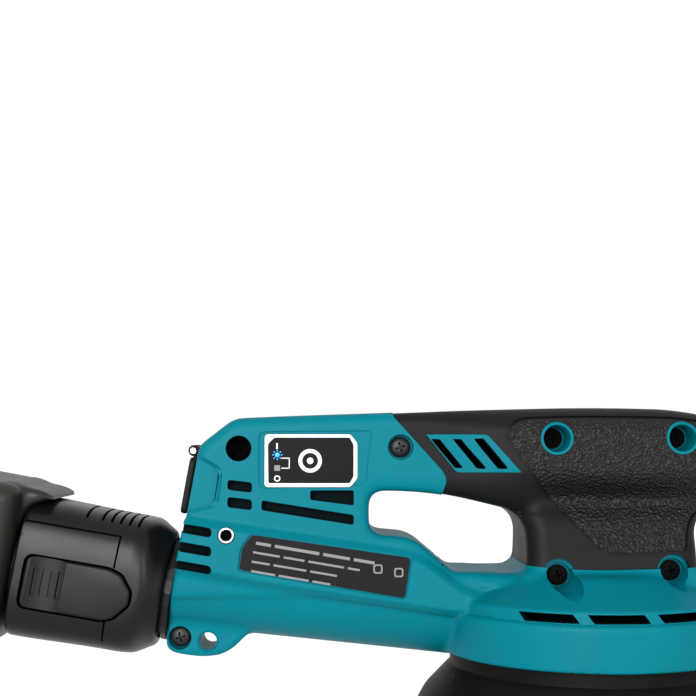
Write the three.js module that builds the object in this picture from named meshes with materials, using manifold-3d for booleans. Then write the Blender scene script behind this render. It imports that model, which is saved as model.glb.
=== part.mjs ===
// Random orbit sander with a clamshell body, a palm grip, a round sanding head
// and a clip-on dust box.
//
// Frame: millimetres, +Z up, +X towards the nose. The origin is the centre of the
// sanding face under the motor axis. The dust outlet leaves at the rear, tilted up.

import * as THREE from 'three';
import { mergeVertices } from 'three/addons/utils/BufferGeometryUtils.js';
import Module from 'manifold-3d';

const wasm = await Module();
wasm.setup();

// ---- Driving dimensions ----

const GAP = 0.3; // clearance between pieces that meet
const SEAM = 0.3; // gap between the two housing halves

// Sanding pad, from the floor up
const PAD_RADIUS = 62.5;
const ABRASIVE_T = 1.0;
const HOOK_T = 1.0;
const FOAM_T = 5.2;
const PLATE_T = 2.8;
const ORBIT = 1.4; // offset of the pad axis from the motor axis
const DUST_HOLE_COUNT = 8;
const DUST_HOLE_RADIUS = 4.5;
const DUST_CIRCLE_RADIUS = 45;

// Round head
const HEAD_RADIUS = 52.4;
const HEAD_BOTTOM = 30;
const BAND_TOP = 45;
const SLOT_TOP = 48.8;
const SHELF_Z = 58;
const HEAD_SLOT_PAIRS = 5;
const HEAD_SLOT_PITCH = THREE.MathUtils.degToRad(25.8);
const HEAD_SLOT_WIDTH = THREE.MathUtils.degToRad(22);

// Neck, palm grip and rear handle
const TOOL_TOP = 114.5;
const NECK_REAR = -24.3;
const NECK_FRONT = 34;
const NOSE_X = 53;
const GRIP_HALF = 20;
const RUBBER_T = 2.2;
const HANDLE_HALF = 20;
const BELT_HALF = 23;
const TUBE_RADIUS = 19.5;
const WALL = 2.5;

// Rear face and dust outlet
const REAR_X = -145.5; // rear face at the outlet axis
const OUTLET_Z = 51;
const OUTLET_TILT = THREE.MathUtils.degToRad(10);
const DUCT_RADIUS = 9.2;
const DUCT_WALL = 1.6;
const SPIGOT_RADIUS = 16;
const SPIGOT_LENGTH = 24;

// Motor
const SHAFT_RADIUS = 4;
const SHAFT_TOP = 61;
const STATOR_RADIUS = 25;
const DUCT_START = new THREE.Vector3(-0.78 * STATOR_RADIUS - 18.5, 0, 41.5); // clear of the motor
const ROTOR_RADIUS = 12.8;
const MOTOR_BOTTOM = 40;
const MOTOR_TOP = 52;
const WINDING_T = 2.3;
const AIR_GAP = 0.5;
const UPPER_BEARING_RADIUS = 8;
const UPPER_BEARING_T = 5;
const LOWER_BEARING_RADIUS = 11;
const LOWER_BEARING_T = 7;
const PAD_BEARING_RADIUS = 13;
const PAD_BEARING_T = 4.7;
const HUB_RADIUS = 6;
const FAN_RADIUS = 41;
const FAN_BLADES = 10;

// Screws through the clamshell
const SCREW_RADIUS = 2;
const SCREW_HEAD_RADIUS = 3.5;
const SCREW_HEAD_T = 2;
const RECESS_RADIUS = 4.2;
const BOSS_RADIUS = 5.4;

// Controls and power inlet
const BUTTON_RADIUS = 5;
const DIAL_RADIUS = 7.5;
const START_X = REAR_X + 35.5;
const STOP_X = REAR_X + 48.5;
const DIAL_X = REAR_X + 62.2;
const INLET_HALF_WIDTH = 12;
const INLET_DEPTH = 12;
const INLET_LOW = 28.5;
const INLET_HIGH = 45.5;
const HINGE_PIN_RADIUS = 1;

// Dust box, measured along the outlet axis from the rear face
const CUFF_RADIUS = 23;
const CUFF_START = 3;
const CUFF_END = 53.5;
const BOX_FRONT = 55;
const BOX_REAR = 112;
const BOX_HALF_HEIGHT = 28.8;
const BOX_HALF_WIDTH = 31;
const BOX_WALL = 1.8;
const LID_T = 3.6;

// ---- Heights that follow from the sizes above ----

const HOOK_BASE = ABRASIVE_T + GAP;
const FOAM_BASE = HOOK_BASE + HOOK_T + GAP;
const PLATE_BASE = FOAM_BASE + FOAM_T + GAP;
const PLATE_TOP = PLATE_BASE + PLATE_T;
const PAD_BEARING_BASE = PLATE_TOP + 2.4;
const WEIGHT_TOP = PAD_BEARING_BASE + PAD_BEARING_T + 4.1;
const FAN_BASE = WEIGHT_TOP + GAP;
const FAN_PLATE_T = 1.5;
const FAN_TOP = HEAD_BOTTOM - 2.4;
const BAFFLE_BASE = HEAD_BOTTOM - 1.7;
const BAFFLE_T = 3;
const BAFFLE_RADIUS = HEAD_RADIUS - 6.3;
const LOWER_BEARING_BASE = BAFFLE_BASE + 1.5;
const HUB_TOP = LOWER_BEARING_BASE + LOWER_BEARING_T;
const POT_RADIUS = STATOR_RADIUS + GAP;
const POT_TOP = MOTOR_TOP + GAP + WINDING_T + 0.4;
const UPPER_BEARING_BASE = POT_TOP + 0.5;
const NECK_FLOOR_TOP = SHELF_Z + 5;

// ---- Solids ----

function signedVolume(positions, index) {
  const corners = [new THREE.Vector3(), new THREE.Vector3(), new THREE.Vector3()];
  let sum = 0;
  for (let i = 0; i < index.length; i += 3) {
    corners.forEach((corner, k) => corner.fromArray(positions, index[i + k] * 3));
    sum += corners[0].dot(corners[1].cross(corners[2]));
  }
  return sum;
}

// Turns a closed three.js geometry into a manifold solid, facing outwards.
function solid(geometry) {
  const bare = geometry.clone();
  bare.deleteAttribute('normal');
  bare.deleteAttribute('uv');
  const merged = mergeVertices(bare, 1e-4);
  const positions = merged.attributes.position.array;
  const kept = [];
  for (let i = 0; i < merged.index.count; i += 3) {
    const [a, b, c] = [0, 1, 2].map((k) => merged.index.getX(i + k));
    if (a !== b && b !== c && c !== a) kept.push(a, b, c);
  }
  if (signedVolume(positions, kept) < 0) kept.reverse();
  return new wasm.Manifold(
    new wasm.Mesh({
      numProp: 3,
      vertProperties: new Float32Array(positions),
      triVerts: new Uint32Array(kept),
    }),
  );
}

function geometryOf(manifold) {
  const result = manifold.getMesh();
  const geometry = new THREE.BufferGeometry();
  geometry.setAttribute('position', new THREE.BufferAttribute(result.vertProperties, 3));
  geometry.setIndex(new THREE.BufferAttribute(result.triVerts, 1));
  geometry.computeVertexNormals();
  return geometry;
}

const join = (...pieces) => pieces.reduce((sum, piece) => sum.add(piece));
const cut = (body, ...tools) => tools.reduce((rest, tool) => rest.subtract(tool), body);

function placed(geometry, matrix) {
  return solid(geometry.clone().applyMatrix4(matrix));
}

function block(x0, x1, y0, y1, z0, z1) {
  const geometry = new THREE.BoxGeometry(x1 - x0, y1 - y0, z1 - z0);
  geometry.translate((x0 + x1) / 2, (y0 + y1) / 2, (z0 + z1) / 2);
  return geometry;
}

const slab = (...limits) => solid(block(...limits));

// Cylinder along Z from z0 to z1, centred on x, y.
function rod(radius, z0, z1, x = 0, y = 0, segments = 18) {
  const geometry = new THREE.CylinderGeometry(radius, radius, z1 - z0, segments);
  geometry.rotateX(Math.PI / 2);
  geometry.translate(x, y, (z0 + z1) / 2);
  return solid(geometry);
}

// Cylinder along Y from y0 to y1, centred on x, z.
function crossRodGeometry(radius, y0, y1, x, z, segments = 14) {
  const geometry = new THREE.CylinderGeometry(radius, radius, y1 - y0, segments);
  geometry.translate(x, (y0 + y1) / 2, z);
  return geometry;
}

const crossRod = (...sizes) => solid(crossRodGeometry(...sizes));

// Solid of revolution about Z from [radius, z] points that close on themselves.
function turnedGeometry(points, segments = 32) {
  const closed = [...points, points[0]].map(([r, z]) => new THREE.Vector2(r, z));
  const geometry = new THREE.LatheGeometry(closed, segments);
  geometry.rotateX(Math.PI / 2);
  return geometry;
}

const turned = (points, segments) => solid(turnedGeometry(points, segments));

function ring(inner, outer, z0, z1, segments = 24) {
  return turned([[inner, z0], [outer, z0], [outer, z1], [inner, z1]], segments);
}

function outline(points) {
  return new THREE.Shape(points.map(([x, z]) => new THREE.Vector2(x, z)));
}

// Moves each corner of a closed outline along its mitre, outwards for positive distance.
function offsetOutline(shape, distance, divisions = 4) {
  let points = shape.getPoints(divisions);
  points = points.filter((p, i) => p.distanceTo(points[(i + 1) % points.length]) > 1e-3);
  const sign = THREE.ShapeUtils.area(points) > 0 ? 1 : -1;
  const moved = points.map((point, i) => {
    const before = points[(i + points.length - 1) % points.length];
    const after = points[(i + 1) % points.length];
    const into = point.clone().sub(before).normalize();
    const out = after.clone().sub(point).normalize();
    const mitre = new THREE.Vector2(into.y + out.y, -into.x - out.x).normalize();
    const spread = Math.max(0.5, mitre.dot(new THREE.Vector2(out.y, -out.x)));
    return point.clone().addScaledVector(mitre, (sign * distance) / spread);
  });
  return new THREE.Shape(moved);
}

// Prism of an X-Z outline between y0 and y1, with its rims rounded by `rim`.
function prismGeometry(shape, y0, y1, rim = 0, divisions = 4) {
  const options = { depth: y1 - y0 - 2 * rim, curveSegments: divisions, bevelEnabled: rim > 0 };
  Object.assign(options, { bevelSize: rim, bevelThickness: rim, bevelOffset: -rim, bevelSegments: 2 });
  const geometry = new THREE.ExtrudeGeometry(shape, options);
  geometry.rotateX(Math.PI / 2);
  geometry.translate(0, y1 - rim, 0);
  return geometry;
}

const prism = (...sizes) => solid(prismGeometry(...sizes));

// The frame of the rear face: x leaves rearwards along the outlet, z points up the face.
const outletFrame = (() => {
  const rearward = new THREE.Vector3(-Math.cos(OUTLET_TILT), 0, Math.sin(OUTLET_TILT));
  const upward = new THREE.Vector3(Math.sin(OUTLET_TILT), 0, Math.cos(OUTLET_TILT));
  const frame = new THREE.Matrix4().makeBasis(rearward, new THREE.Vector3(0, -1, 0), upward);
  return frame.setPosition(REAR_X, 0, OUTLET_Z);
})();

const rearXAt = (z) => REAR_X + (z - OUTLET_Z) * Math.tan(OUTLET_TILT);

// ---- Materials ----

const finish = (color, roughness, metalness = 0) =>
  new THREE.MeshStandardMaterial({ color, roughness, metalness });

const FINISHES = {
  shell: ['#0a8fa0', 0.42],
  rubber: ['#2a2a2c', 0.8],
  blackPlastic: ['#1f2022', 0.5],
  darkPlate: ['#2d2a2d', 0.55],
  whitePlate: ['#e9edec', 0.5],
  steel: ['#a9adb0', 0.35, 1],
  darkSteel: ['#35373a', 0.45, 1],
  copper: ['#b06a3a', 0.4, 1],
  aluminium: ['#b9bcbe', 0.4, 1],
  circuit: ['#1d5a38', 0.6],
  lens: ['#3aa0e8', 0.2],
  foam: ['#3b3d3f', 0.9],
  hook: ['#1c1c1e', 0.95],
  abrasive: ['#7d3c22', 0.95],
  filter: ['#e6e2d6', 0.9],
};

const sander = new THREE.Group();
sander.name = 'sander';
const rearFittings = new THREE.Group();
const dustBox = new THREE.Group();
for (const group of [rearFittings, dustBox]) {
  group.applyMatrix4(outletFrame);
  sander.add(group);
}

// Adds one named piece to a group.
function piece(name, body, kind, parent = sander) {
  const mesh = new THREE.Mesh(geometryOf(body), finish(...FINISHES[kind]));
  mesh.name = name;
  parent.add(mesh);
  return mesh;
}

// ---- Outlines of the body, in the X-Z plane ----

// The finger opening between grip, neck, shelf and rear handle.
function openingOutline() {
  const rear = REAR_X + 66.9;
  const high = TOOL_TOP - 28.3;
  const front = NECK_REAR;
  const frontTop = high - 6.2;
  const ledge = SHELF_Z + 12;
  const shape = new THREE.Shape();
  shape.moveTo(rear, high - 6);
  shape.quadraticCurveTo(rear, high, rear + 5, high);
  shape.bezierCurveTo(rear + 20, high - 0.5, front - 18, frontTop + 2.5, front - 9.5, frontTop);
  shape.bezierCurveTo(front - 3, frontTop - 2.5, front, frontTop - 7, front, frontTop - 11);
  shape.lineTo(front, SHELF_Z + 5);
  shape.quadraticCurveTo(front, SHELF_Z, front - 6, SHELF_Z);
  shape.lineTo(front - 23.5, SHELF_Z);
  shape.quadraticCurveTo(front - 25.5, SHELF_Z, front - 27.5, SHELF_Z + 2);
  shape.lineTo(front - 36, SHELF_Z + 9);
  shape.quadraticCurveTo(front - 38.5, SHELF_Z + 11.4, front - 42.5, ledge);
  shape.lineTo(rear + 5, ledge + 0.8);
  shape.quadraticCurveTo(rear, ledge + 2, rear, ledge + 6);
  shape.lineTo(rear, high - 6);
  return shape;
}

// The rear handle in side view, without the finger opening.
function handleOutline() {
  return outline([
    [rearXAt(BAND_TOP + 5), BAND_TOP + 5],
    [rearXAt(TOOL_TOP - 14.5), TOOL_TOP - 14.5],
    [REAR_X + 20, TOOL_TOP - 4.9],
    [REAR_X + 23, TOOL_TOP - 4.1],
    [REAR_X + 44, TOOL_TOP - 3.1],
    [REAR_X + 76, TOOL_TOP - 2.1],
    [NECK_REAR - 25, TOOL_TOP - 1.4],
    [NECK_REAR - 25, BAND_TOP - 1],
  ]);
}

// The palm grip with its nose and neck.
function gripOutline() {
  const rear = REAR_X + 66;
  const nose = NOSE_X;
  const top = TOOL_TOP;
  const shape = new THREE.Shape();
  shape.moveTo(rear, top - 2.4);
  shape.bezierCurveTo(rear + 30, top - 1.2, -20, top, 5, top);
  shape.bezierCurveTo(25, top, nose - 17, top - 1.6, nose - 11, top - 4);
  shape.bezierCurveTo(nose - 3, top - 8, nose + 1, top - 14, nose, top - 21);
  shape.bezierCurveTo(nose - 1, top - 29, nose - 9, top - 35, nose - 14, top - 37);
  shape.quadraticCurveTo(NECK_FRONT, top - 39, NECK_FRONT, top - 45);
  shape.lineTo(NECK_FRONT, SHELF_Z - 5);
  shape.lineTo(NECK_REAR, SHELF_Z - 5);
  shape.lineTo(NECK_REAR, SHELF_Z + 14);
  shape.lineTo(rear, SHELF_Z + 14);
  return shape;
}

// The part of the side view that the elastomer covers.
function rubberOutline() {
  const line = REAR_X + 75.4;
  return outline([
    [line, TOOL_TOP + 5],
    [line, TOOL_TOP - 3.1],
    [line + 17.2, TOOL_TOP - 22.1],
    [line + 17.9, TOOL_TOP - 24.8],
    [line + 16.5, TOOL_TOP - 29.3],
    [line + 16.5, SHELF_Z + 2],
    [NOSE_X + 10, SHELF_Z + 2],
    [NOSE_X + 10, TOOL_TOP + 5],
  ]);
}

// Slanted vent panel between the rear handle and the grip.
function ventOutline() {
  const x = REAR_X + 86.4;
  const z = TOOL_TOP - 9.2;
  return outline([[x, z], [x + 21.3, z], [x + 33, z - 13.2], [x + 10.6, z - 13.2]]);
}

// The wide side belt: a band that climbs towards the rear.
function beltOutline() {
  return outline([
    [rearXAt(SHELF_Z), SHELF_Z],
    [REAR_X + 95.5, SHELF_Z - 14.3],
    [REAR_X + 102, SHELF_Z - 15],
    [REAR_X + 101.7, SHELF_Z - 5.7],
    [REAR_X + 98.3, SHELF_Z - 3.6],
    [REAR_X + 85.2, SHELF_Z + 6],
    [REAR_X + 77.8, SHELF_Z + 7.7],
    [rearXAt(SHELF_Z + 19.1), SHELF_Z + 19.1],
  ]);
}

// ---- Clamshell ----

const SCREWS = [
  { name: 'screw_rear_top', x: REAR_X + 22.7, z: TOOL_TOP - 14.1, seat: 7, boss: true },
  { name: 'screw_handle', x: REAR_X + 78, z: TOOL_TOP - 13.7, seat: 15.6, boss: true },
  { name: 'screw_grip_rear', x: NECK_REAR + 10, z: TOOL_TOP - 10.7, seat: 11, boss: true },
  { name: 'screw_grip_front', x: NOSE_X - 24.3, z: TOOL_TOP - 10.5, seat: 11, boss: true },
  { name: 'screw_neck_rear', x: NECK_REAR + 10, z: SHELF_Z - 0.4, seat: STATOR_RADIUS - 6.5, boss: false },
  { name: 'screw_neck_front', x: NECK_FRONT - 9.4, z: SHELF_Z + 0.9, seat: 17, boss: false },
  { name: 'screw_lug', x: REAR_X + 2.2, z: OUTLET_Z - 15.8, seat: 6, boss: false },
];
const LUG_HALF = 10;
const SCREW_REACH = 8;

function headBody() {
  const r = HEAD_RADIUS;
  return turned([
    [0, HEAD_BOTTOM],
    [r - 0.6, HEAD_BOTTOM],
    [r, HEAD_BOTTOM + 1],
    [r, BAND_TOP - 0.5],
    [r - 1.9, BAND_TOP],
    [r - 1.9, SLOT_TOP],
    [r - 3.2, SLOT_TOP + 0.7],
    [r - 12, SLOT_TOP + 5.2],
    [30, SHELF_Z],
    [0, SHELF_Z],
  ], 44);
}

function headHollow() {
  const r = HEAD_RADIUS - 4.4;
  const floor = BAFFLE_BASE + BAFFLE_T + GAP;
  const pot = POT_RADIUS + WALL;
  const annulus = turned([
    [pot, floor - 0.01],
    [r, floor - 0.01],
    [r, SLOT_TOP - 1.5],
    [r - 8, SLOT_TOP + 2],
    [pot, POT_TOP - 0.6],
  ], 28);
  const bottom = rod(r, HEAD_BOTTOM - 1, floor, 0, 0, 28);
  const motor = rod(POT_RADIUS, HEAD_BOTTOM, POT_TOP, 0, 0, 28);
  const bearing = rod(UPPER_BEARING_RADIUS + GAP, POT_TOP - 1, UPPER_BEARING_BASE + UPPER_BEARING_T + 0.4);
  const shaft = rod(SHAFT_RADIUS + 1, POT_TOP, SHAFT_TOP + 1.5);
  return join(annulus, bottom, motor, bearing, shaft);
}

function headSlots() {
  const inner = HEAD_RADIUS - 6;
  const outer = HEAD_RADIUS + 3;
  const slots = [];
  for (let i = 0; i < HEAD_SLOT_PAIRS; i += 1) {
    for (const side of [-1, 1]) {
      const middle = side * (i + 0.5) * HEAD_SLOT_PITCH;
      const shape = new THREE.Shape();
      shape.absarc(0, 0, outer, middle - HEAD_SLOT_WIDTH / 2, middle + HEAD_SLOT_WIDTH / 2, false);
      shape.absarc(0, 0, inner, middle + HEAD_SLOT_WIDTH / 2, middle - HEAD_SLOT_WIDTH / 2, true);
      const options = { depth: SLOT_TOP - BAND_TOP - 0.6, bevelEnabled: false, curveSegments: 2 };
      const geometry = new THREE.ExtrudeGeometry(shape, options);
      slots.push(solid(geometry.translate(0, 0, BAND_TOP + 0.3)));
    }
  }
  return join(...slots);
}

// Straight cylinder between two points of the X-Z plane.
function pipe(radius, from, to, segments = 18) {
  const run = to.clone().sub(from);
  const geometry = new THREE.CylinderGeometry(radius, radius, run.length(), segments);
  const turn = new THREE.Quaternion().setFromUnitVectors(new THREE.Vector3(0, 1, 0), run.normalize());
  const middle = from.clone().add(to).multiplyScalar(0.5);
  return placed(geometry, new THREE.Matrix4().compose(middle, turn, new THREE.Vector3(1, 1, 1)));
}

const DUCT_END = new THREE.Vector3(REAR_X - 1.4, 0, OUTLET_Z + 0.4);

// The rounded underside that carries the dust duct.
function tubeLine(extra) {
  const rise = 0.105;
  const front = new THREE.Vector3(NECK_REAR - 16 + extra, 0, SHELF_Z - 11);
  const rear = new THREE.Vector3(REAR_X - 6 + extra, 0, 0);
  rear.z = front.z + (front.x - rear.x) * rise;
  return [front, rear];
}

function lugBody() {
  const low = OUTLET_Z - 21.6;
  return prism(outline([
    [REAR_X - 2.6, low + 3.4],
    [REAR_X + 1.8, low + 0.8],
    [REAR_X + 10, low],
    [REAR_X + 15, low],
    [REAR_X + 19, low + 1.4],
    [REAR_X + 24.9, low + 6.3],
    [REAR_X + 30, low + 12],
    [REAR_X, low + 14],
  ]), -LUG_HALF, LUG_HALF, 1);
}

const LUG_HOLE = { x: REAR_X + 11.9, z: OUTLET_Z - 17, radius: 3 };

function gripCore() {
  const inset = RUBBER_T + GAP;
  const half = GRIP_HALF - inset;
  const body = prism(offsetOutline(gripOutline(), -inset), -half, half, 4.5);
  return cut(body, prism(offsetOutline(openingOutline(), inset), -50, 50));
}

// Flush teal islands that show through the elastomer: vent panel and screw rims.
function gripIslands() {
  const vent = offsetOutline(ventOutline(), -GAP);
  const parts = [];
  for (const side of [-1, 1]) {
    const near = side * (GRIP_HALF - RUBBER_T - 2);
    const far = side * (GRIP_HALF + 0.1);
    const [y0, y1] = [Math.min(near, far), Math.max(near, far)];
    parts.push(prism(vent, y0, y1));
    for (const screw of SCREWS.filter(({ name }) => name.includes('grip'))) {
      parts.push(crossRod(BOSS_RADIUS, y0, y1, screw.x, screw.z, 16));
    }
  }
  return join(...parts);
}

function ventSlots() {
  const slots = [];
  for (let i = 0; i < 3; i += 1) {
    const x = REAR_X + 88.3 + i * 7.4;
    const z = TOOL_TOP - 10.6;
    const shape = outline([[x, z], [x + 3.1, z], [x + 11.4, z - 10.6], [x + 8.6, z - 10.6]]);
    slots.push(prism(shape, -GRIP_HALF - 2, GRIP_HALF + 2));
  }
  return join(...slots);
}

function bodyOuter() {
  const handle = prism(handleOutline(), -HANDLE_HALF, HANDLE_HALF, 4);
  const belt = prism(beltOutline(), -BELT_HALF, BELT_HALF, 1.5);
  const tube = pipe(TUBE_RADIUS, ...tubeLine(0), 24);
  const behind = new THREE.Matrix4().copy(outletFrame);
  const rear = placed(block(0, 60, -60, 60, -60, 90), behind);
  const rubberZone = prism(offsetOutline(rubberOutline(), GAP), -60, 60);
  const handlePart = cut(handle, prism(openingOutline(), -50, 50), rubberZone);
  const lower = cut(join(belt, tube), prism(openingOutline(), -50, 50));
  const all = join(headBody(), handlePart, lower, lugBody(), gripCore(), gripIslands());
  return cut(all, rear, rod(HEAD_RADIUS - 2.8, 0, HEAD_BOTTOM, 0, 0, 44));
}

// The space for electronics in the rear handle and the grip.
function upperHollow() {
  const rear = rearXAt(TOOL_TOP - 30) + INLET_DEPTH + 0.6;
  const wallX = REAR_X + 66.9 - WALL - 1;
  const handle = prism(outline([
    [rear - 4.4, SHELF_Z + 12],
    [rear + 1.5, TOOL_TOP - 9.5],
    [REAR_X + 24, TOOL_TOP - 7.2],
    [wallX, TOOL_TOP - 5.4],
    [wallX, SHELF_Z + 12],
  ]), WALL - HANDLE_HALF, HANDLE_HALF - WALL);
  const inset = RUBBER_T + GAP + WALL;
  const half = GRIP_HALF - inset;
  const grip = cut(
    prism(offsetOutline(gripOutline(), -inset), -half, half, 3),
    prism(offsetOutline(openingOutline(), inset), -50, 50),
    slab(-200, 200, -50, 50, 0, NECK_FLOOR_TOP),
  );
  const link = slab(wallX - 2, REAR_X + 75, -12, 12, TOOL_TOP - 22, TOOL_TOP - 6.5);
  return join(handle, grip, link);
}

function lowerHollow() {
  const [front, rear] = tubeLine(0);
  const start = front.clone().lerp(rear, 0.1);
  const end = front.clone().lerp(rear, 0.88);
  const tube = pipe(TUBE_RADIUS - WALL, start, end, 20);
  const duct = pipe(DUCT_RADIUS + GAP, DUCT_START, DUCT_END.clone().add(new THREE.Vector3(-8, 0, 1)));
  const elbow = rod(DUCT_RADIUS + GAP, HEAD_BOTTOM, DUCT_START.z, DUCT_START.x, 0);
  return cut(join(tube, duct, elbow), slab(-200, 200, -50, 50, SHELF_Z + 9, 200));
}

function inletHole() {
  const half = INLET_HALF_WIDTH + GAP;
  const space = block(-INLET_DEPTH - 2, 2, -half, half, INLET_LOW - GAP, INLET_HIGH + GAP);
  return placed(space, outletFrame);
}

function bossRods() {
  const bosses = SCREWS.filter(({ boss }) => boss);
  return join(...bosses.map(({ x, z }) => crossRod(BOSS_RADIUS, -16.5, 16.5, x, z, 16)));
}

function screwHoles() {
  const holes = SCREWS.flatMap(({ x, z, seat }) => [
    crossRod(RECESS_RADIUS, -40, -seat, x, z),
    crossRod(SCREW_RADIUS + GAP, -seat - 1, SCREW_REACH + 1, x, z, 8),
  ]);
  return join(...holes);
}

function controlHoles() {
  const top = TOOL_TOP + 2;
  const low = TOOL_TOP - 14;
  return join(
    rod(BUTTON_RADIUS + GAP, low, top, START_X),
    rod(BUTTON_RADIUS + GAP, low, top, STOP_X),
    rod(DIAL_RADIUS + GAP, TOOL_TOP - 7, top, DIAL_X),
    rod(3 + GAP, low, top, DIAL_X),
  );
}

// Louvres, pockets and slots that show on both sides of the rear handle.
function sideCuts() {
  const cuts = [];
  const top = TOOL_TOP;
  const groove = (points, depthFrom, half) => {
    cuts.push(prism(outline(points), -half - 2, depthFrom - half));
    cuts.push(prism(outline(points), half - depthFrom, half + 2));
  };
  for (const [drop, height] of [[24.6, 3.6], [30.4, 3.8]]) {
    const z = top - drop;
    const x = REAR_X + 19.4;
    groove([[x, z], [x + 7.6, z - 0.9], [x + 7.6, z - 0.9 - height], [x, z - height]], WALL + 1.5, HANDLE_HALF);
  }
  const x = REAR_X + 31;
  const z = top - 31;
  groove([[x, z - 0.4], [x + 30.6, z - 5.3], [x + 30.6, z - 7.9], [x, z - 3]], WALL + 1.5, HANDLE_HALF);
  groove([[x + 16.5, z + 2.3], [x + 30.6, z + 2.3], [x + 30.6, z - 2], [x + 16.5, z - 0.2]], WALL + 1.5, HANDLE_HALF);
  const pocket = [[9, -17.4], [15.6, -21.2], [16.2, -23.2], [15.2, -31.4], [13.8, -33.4], [6, -35.4]];
  groove(pocket.map(([dx, dz]) => [REAR_X + dx, top + dz]), 3, HANDLE_HALF);
  for (const rise of [21.8, 14.9, 9.6]) {
    const low = OUTLET_Z + rise - 1.9;
    const start = rearXAt(low) - 3;
    const slope = Math.tan(OUTLET_TILT);
    const end = REAR_X + 13.6;
    groove([[start, low], [end, low - (end - start) * slope],
      [end, low + 3.6 - (end - start) * slope], [start, low + 3.6]], 3, BELT_HALF);
  }
  return join(...cuts);
}

const LABEL = { x: REAR_X + 31.6, z: TOOL_TOP - 27.2, width: 31.6, height: 17.9, t: 0.5 };
const PLATE = { t: 0.5, recess: 0.8 };

function labelOutline() {
  const { x, z, width, height } = LABEL;
  return outline([[x, z], [x + width - 2, z], [x + width, z + 3], [x + width, z + height - 3],
    [x + width - 2, z + height], [x, z + height]]);
}

// The rating plate follows the slope of the side belt.
function plateOutline() {
  const x = REAR_X;
  const z = SHELF_Z;
  return outline([[x + 27.5, z + 13.4], [x + 24.3, z + 8.8], [x + 23.4, z + 1.8],
    [x + 79, z - 7.8], [x + 81, z + 5.6]]);
}

const EYELET = { x: REAR_X + 18.9, z: SHELF_Z + 13.2, outer: 2.5, inner: 1.85, depth: 5 };

function trimRecesses() {
  const label = prism(offsetOutline(labelOutline(), GAP), -HANDLE_HALF - 2, PLATE.recess - HANDLE_HALF);
  const plate = prism(offsetOutline(plateOutline(), GAP), -BELT_HALF - 2, PLATE.recess - BELT_HALF);
  const eyelet = crossRod(EYELET.outer + GAP, -BELT_HALF - 2, EYELET.depth + 1 - BELT_HALF, EYELET.x, EYELET.z);
  const lens = crossRod(LENS.radius + GAP, -HANDLE_HALF - 2, LENS.depth + 0.5 - HANDLE_HALF, LENS.x, LENS.z, 8);
  return join(label, plate, eyelet, lens);
}

const LENS = { x: LABEL.x + 4.3, z: LABEL.z + 10.9, radius: 1.2, depth: 1.8 };

const CAP_HINGE = { x: 2.2, z: INLET_HIGH + 3.4, radius: 2, half: 8 };

function hingeEars() {
  const { x, z, radius, half } = CAP_HINGE;
  const ears = [-1, 1].map((side) => {
    const [y0, y1] = [half + GAP, half + GAP + 3].map((y) => y * side).sort((a, b) => a - b);
    const knuckle = crossRodGeometry(radius, y0, y1, x, z, 12);
    const web = block(-2, x, y0, y1, z - radius, z + radius * 0.5);
    return join(placed(knuckle, outletFrame), placed(web, outletFrame));
  });
  const hole = crossRodGeometry(HINGE_PIN_RADIUS + GAP, -20, 20, x, z, 12);
  return cut(join(...ears), placed(hole, outletFrame));
}

function housing() {
  const shell = cut(bodyOuter(), upperHollow(), lowerHollow(), headHollow(), inletHole());
  const bossed = join(shell, bossRods().intersect(bodyOuter()), hingeEars());
  const lugHole = crossRod(LUG_HOLE.radius, -30, 30, LUG_HOLE.x, LUG_HOLE.z);
  return cut(bossed, screwHoles(), controlHoles(), sideCuts(), trimRecesses(), ventSlots(), headSlots(), lugHole);
}

function addHousing() {
  const whole = housing();
  const reach = 400;
  const rightSide = slab(-reach, reach, -reach, -SEAM / 2, -reach, reach);
  const leftSide = slab(-reach, reach, SEAM / 2, reach, -reach, reach);
  piece('housing_right', whole.intersect(rightSide), 'shell');
  piece('housing_left', whole.intersect(leftSide), 'shell');
}

// Elastomer skin over the grip and neck, one piece on each half.
function addGripSkins() {
  const inner = GRIP_HALF - RUBBER_T;
  const opening = openingOutline();
  const outer = cut(prism(gripOutline(), -GRIP_HALF, GRIP_HALF, 6), prism(opening, -50, 50));
  const core = cut(
    prism(offsetOutline(gripOutline(), -RUBBER_T), -inner, inner, 4.8),
    prism(offsetOutline(opening, RUBBER_T), -50, 50),
  );
  const windows = [prism(ventOutline(), -50, 50)];
  for (const screw of SCREWS.filter(({ name }) => name.includes('grip'))) {
    windows.push(crossRod(BOSS_RADIUS + GAP, -50, 50, screw.x, screw.z, 16));
  }
  for (const screw of SCREWS.filter(({ name }) => name.includes('neck'))) {
    windows.push(crossRod(RECESS_RADIUS + GAP, -50, 50, screw.x, screw.z));
  }
  const skin = cut(outer.intersect(prism(rubberOutline(), -60, 60)), core, ...windows);
  for (const [name, side] of [['grip_skin_right', -1], ['grip_skin_left', 1]]) {
    const [y0, y1] = [side * 0.15, side * 100].sort((a, b) => a - b);
    piece(name, skin.intersect(slab(-200, 200, y0, y1, 0, 200)), 'rubber');
  }
}

function addScrews() {
  for (const { name, x, z, seat } of SCREWS) {
    const head = crossRod(SCREW_HEAD_RADIUS, -seat - SCREW_HEAD_T - GAP, -seat - GAP, x, z, 12);
    const shank = crossRod(SCREW_RADIUS, -seat - 1, SCREW_REACH, x, z, 8);
    piece(name, join(head, shank), 'darkSteel');
  }
}

// ---- Head, motor and pad ----

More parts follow.
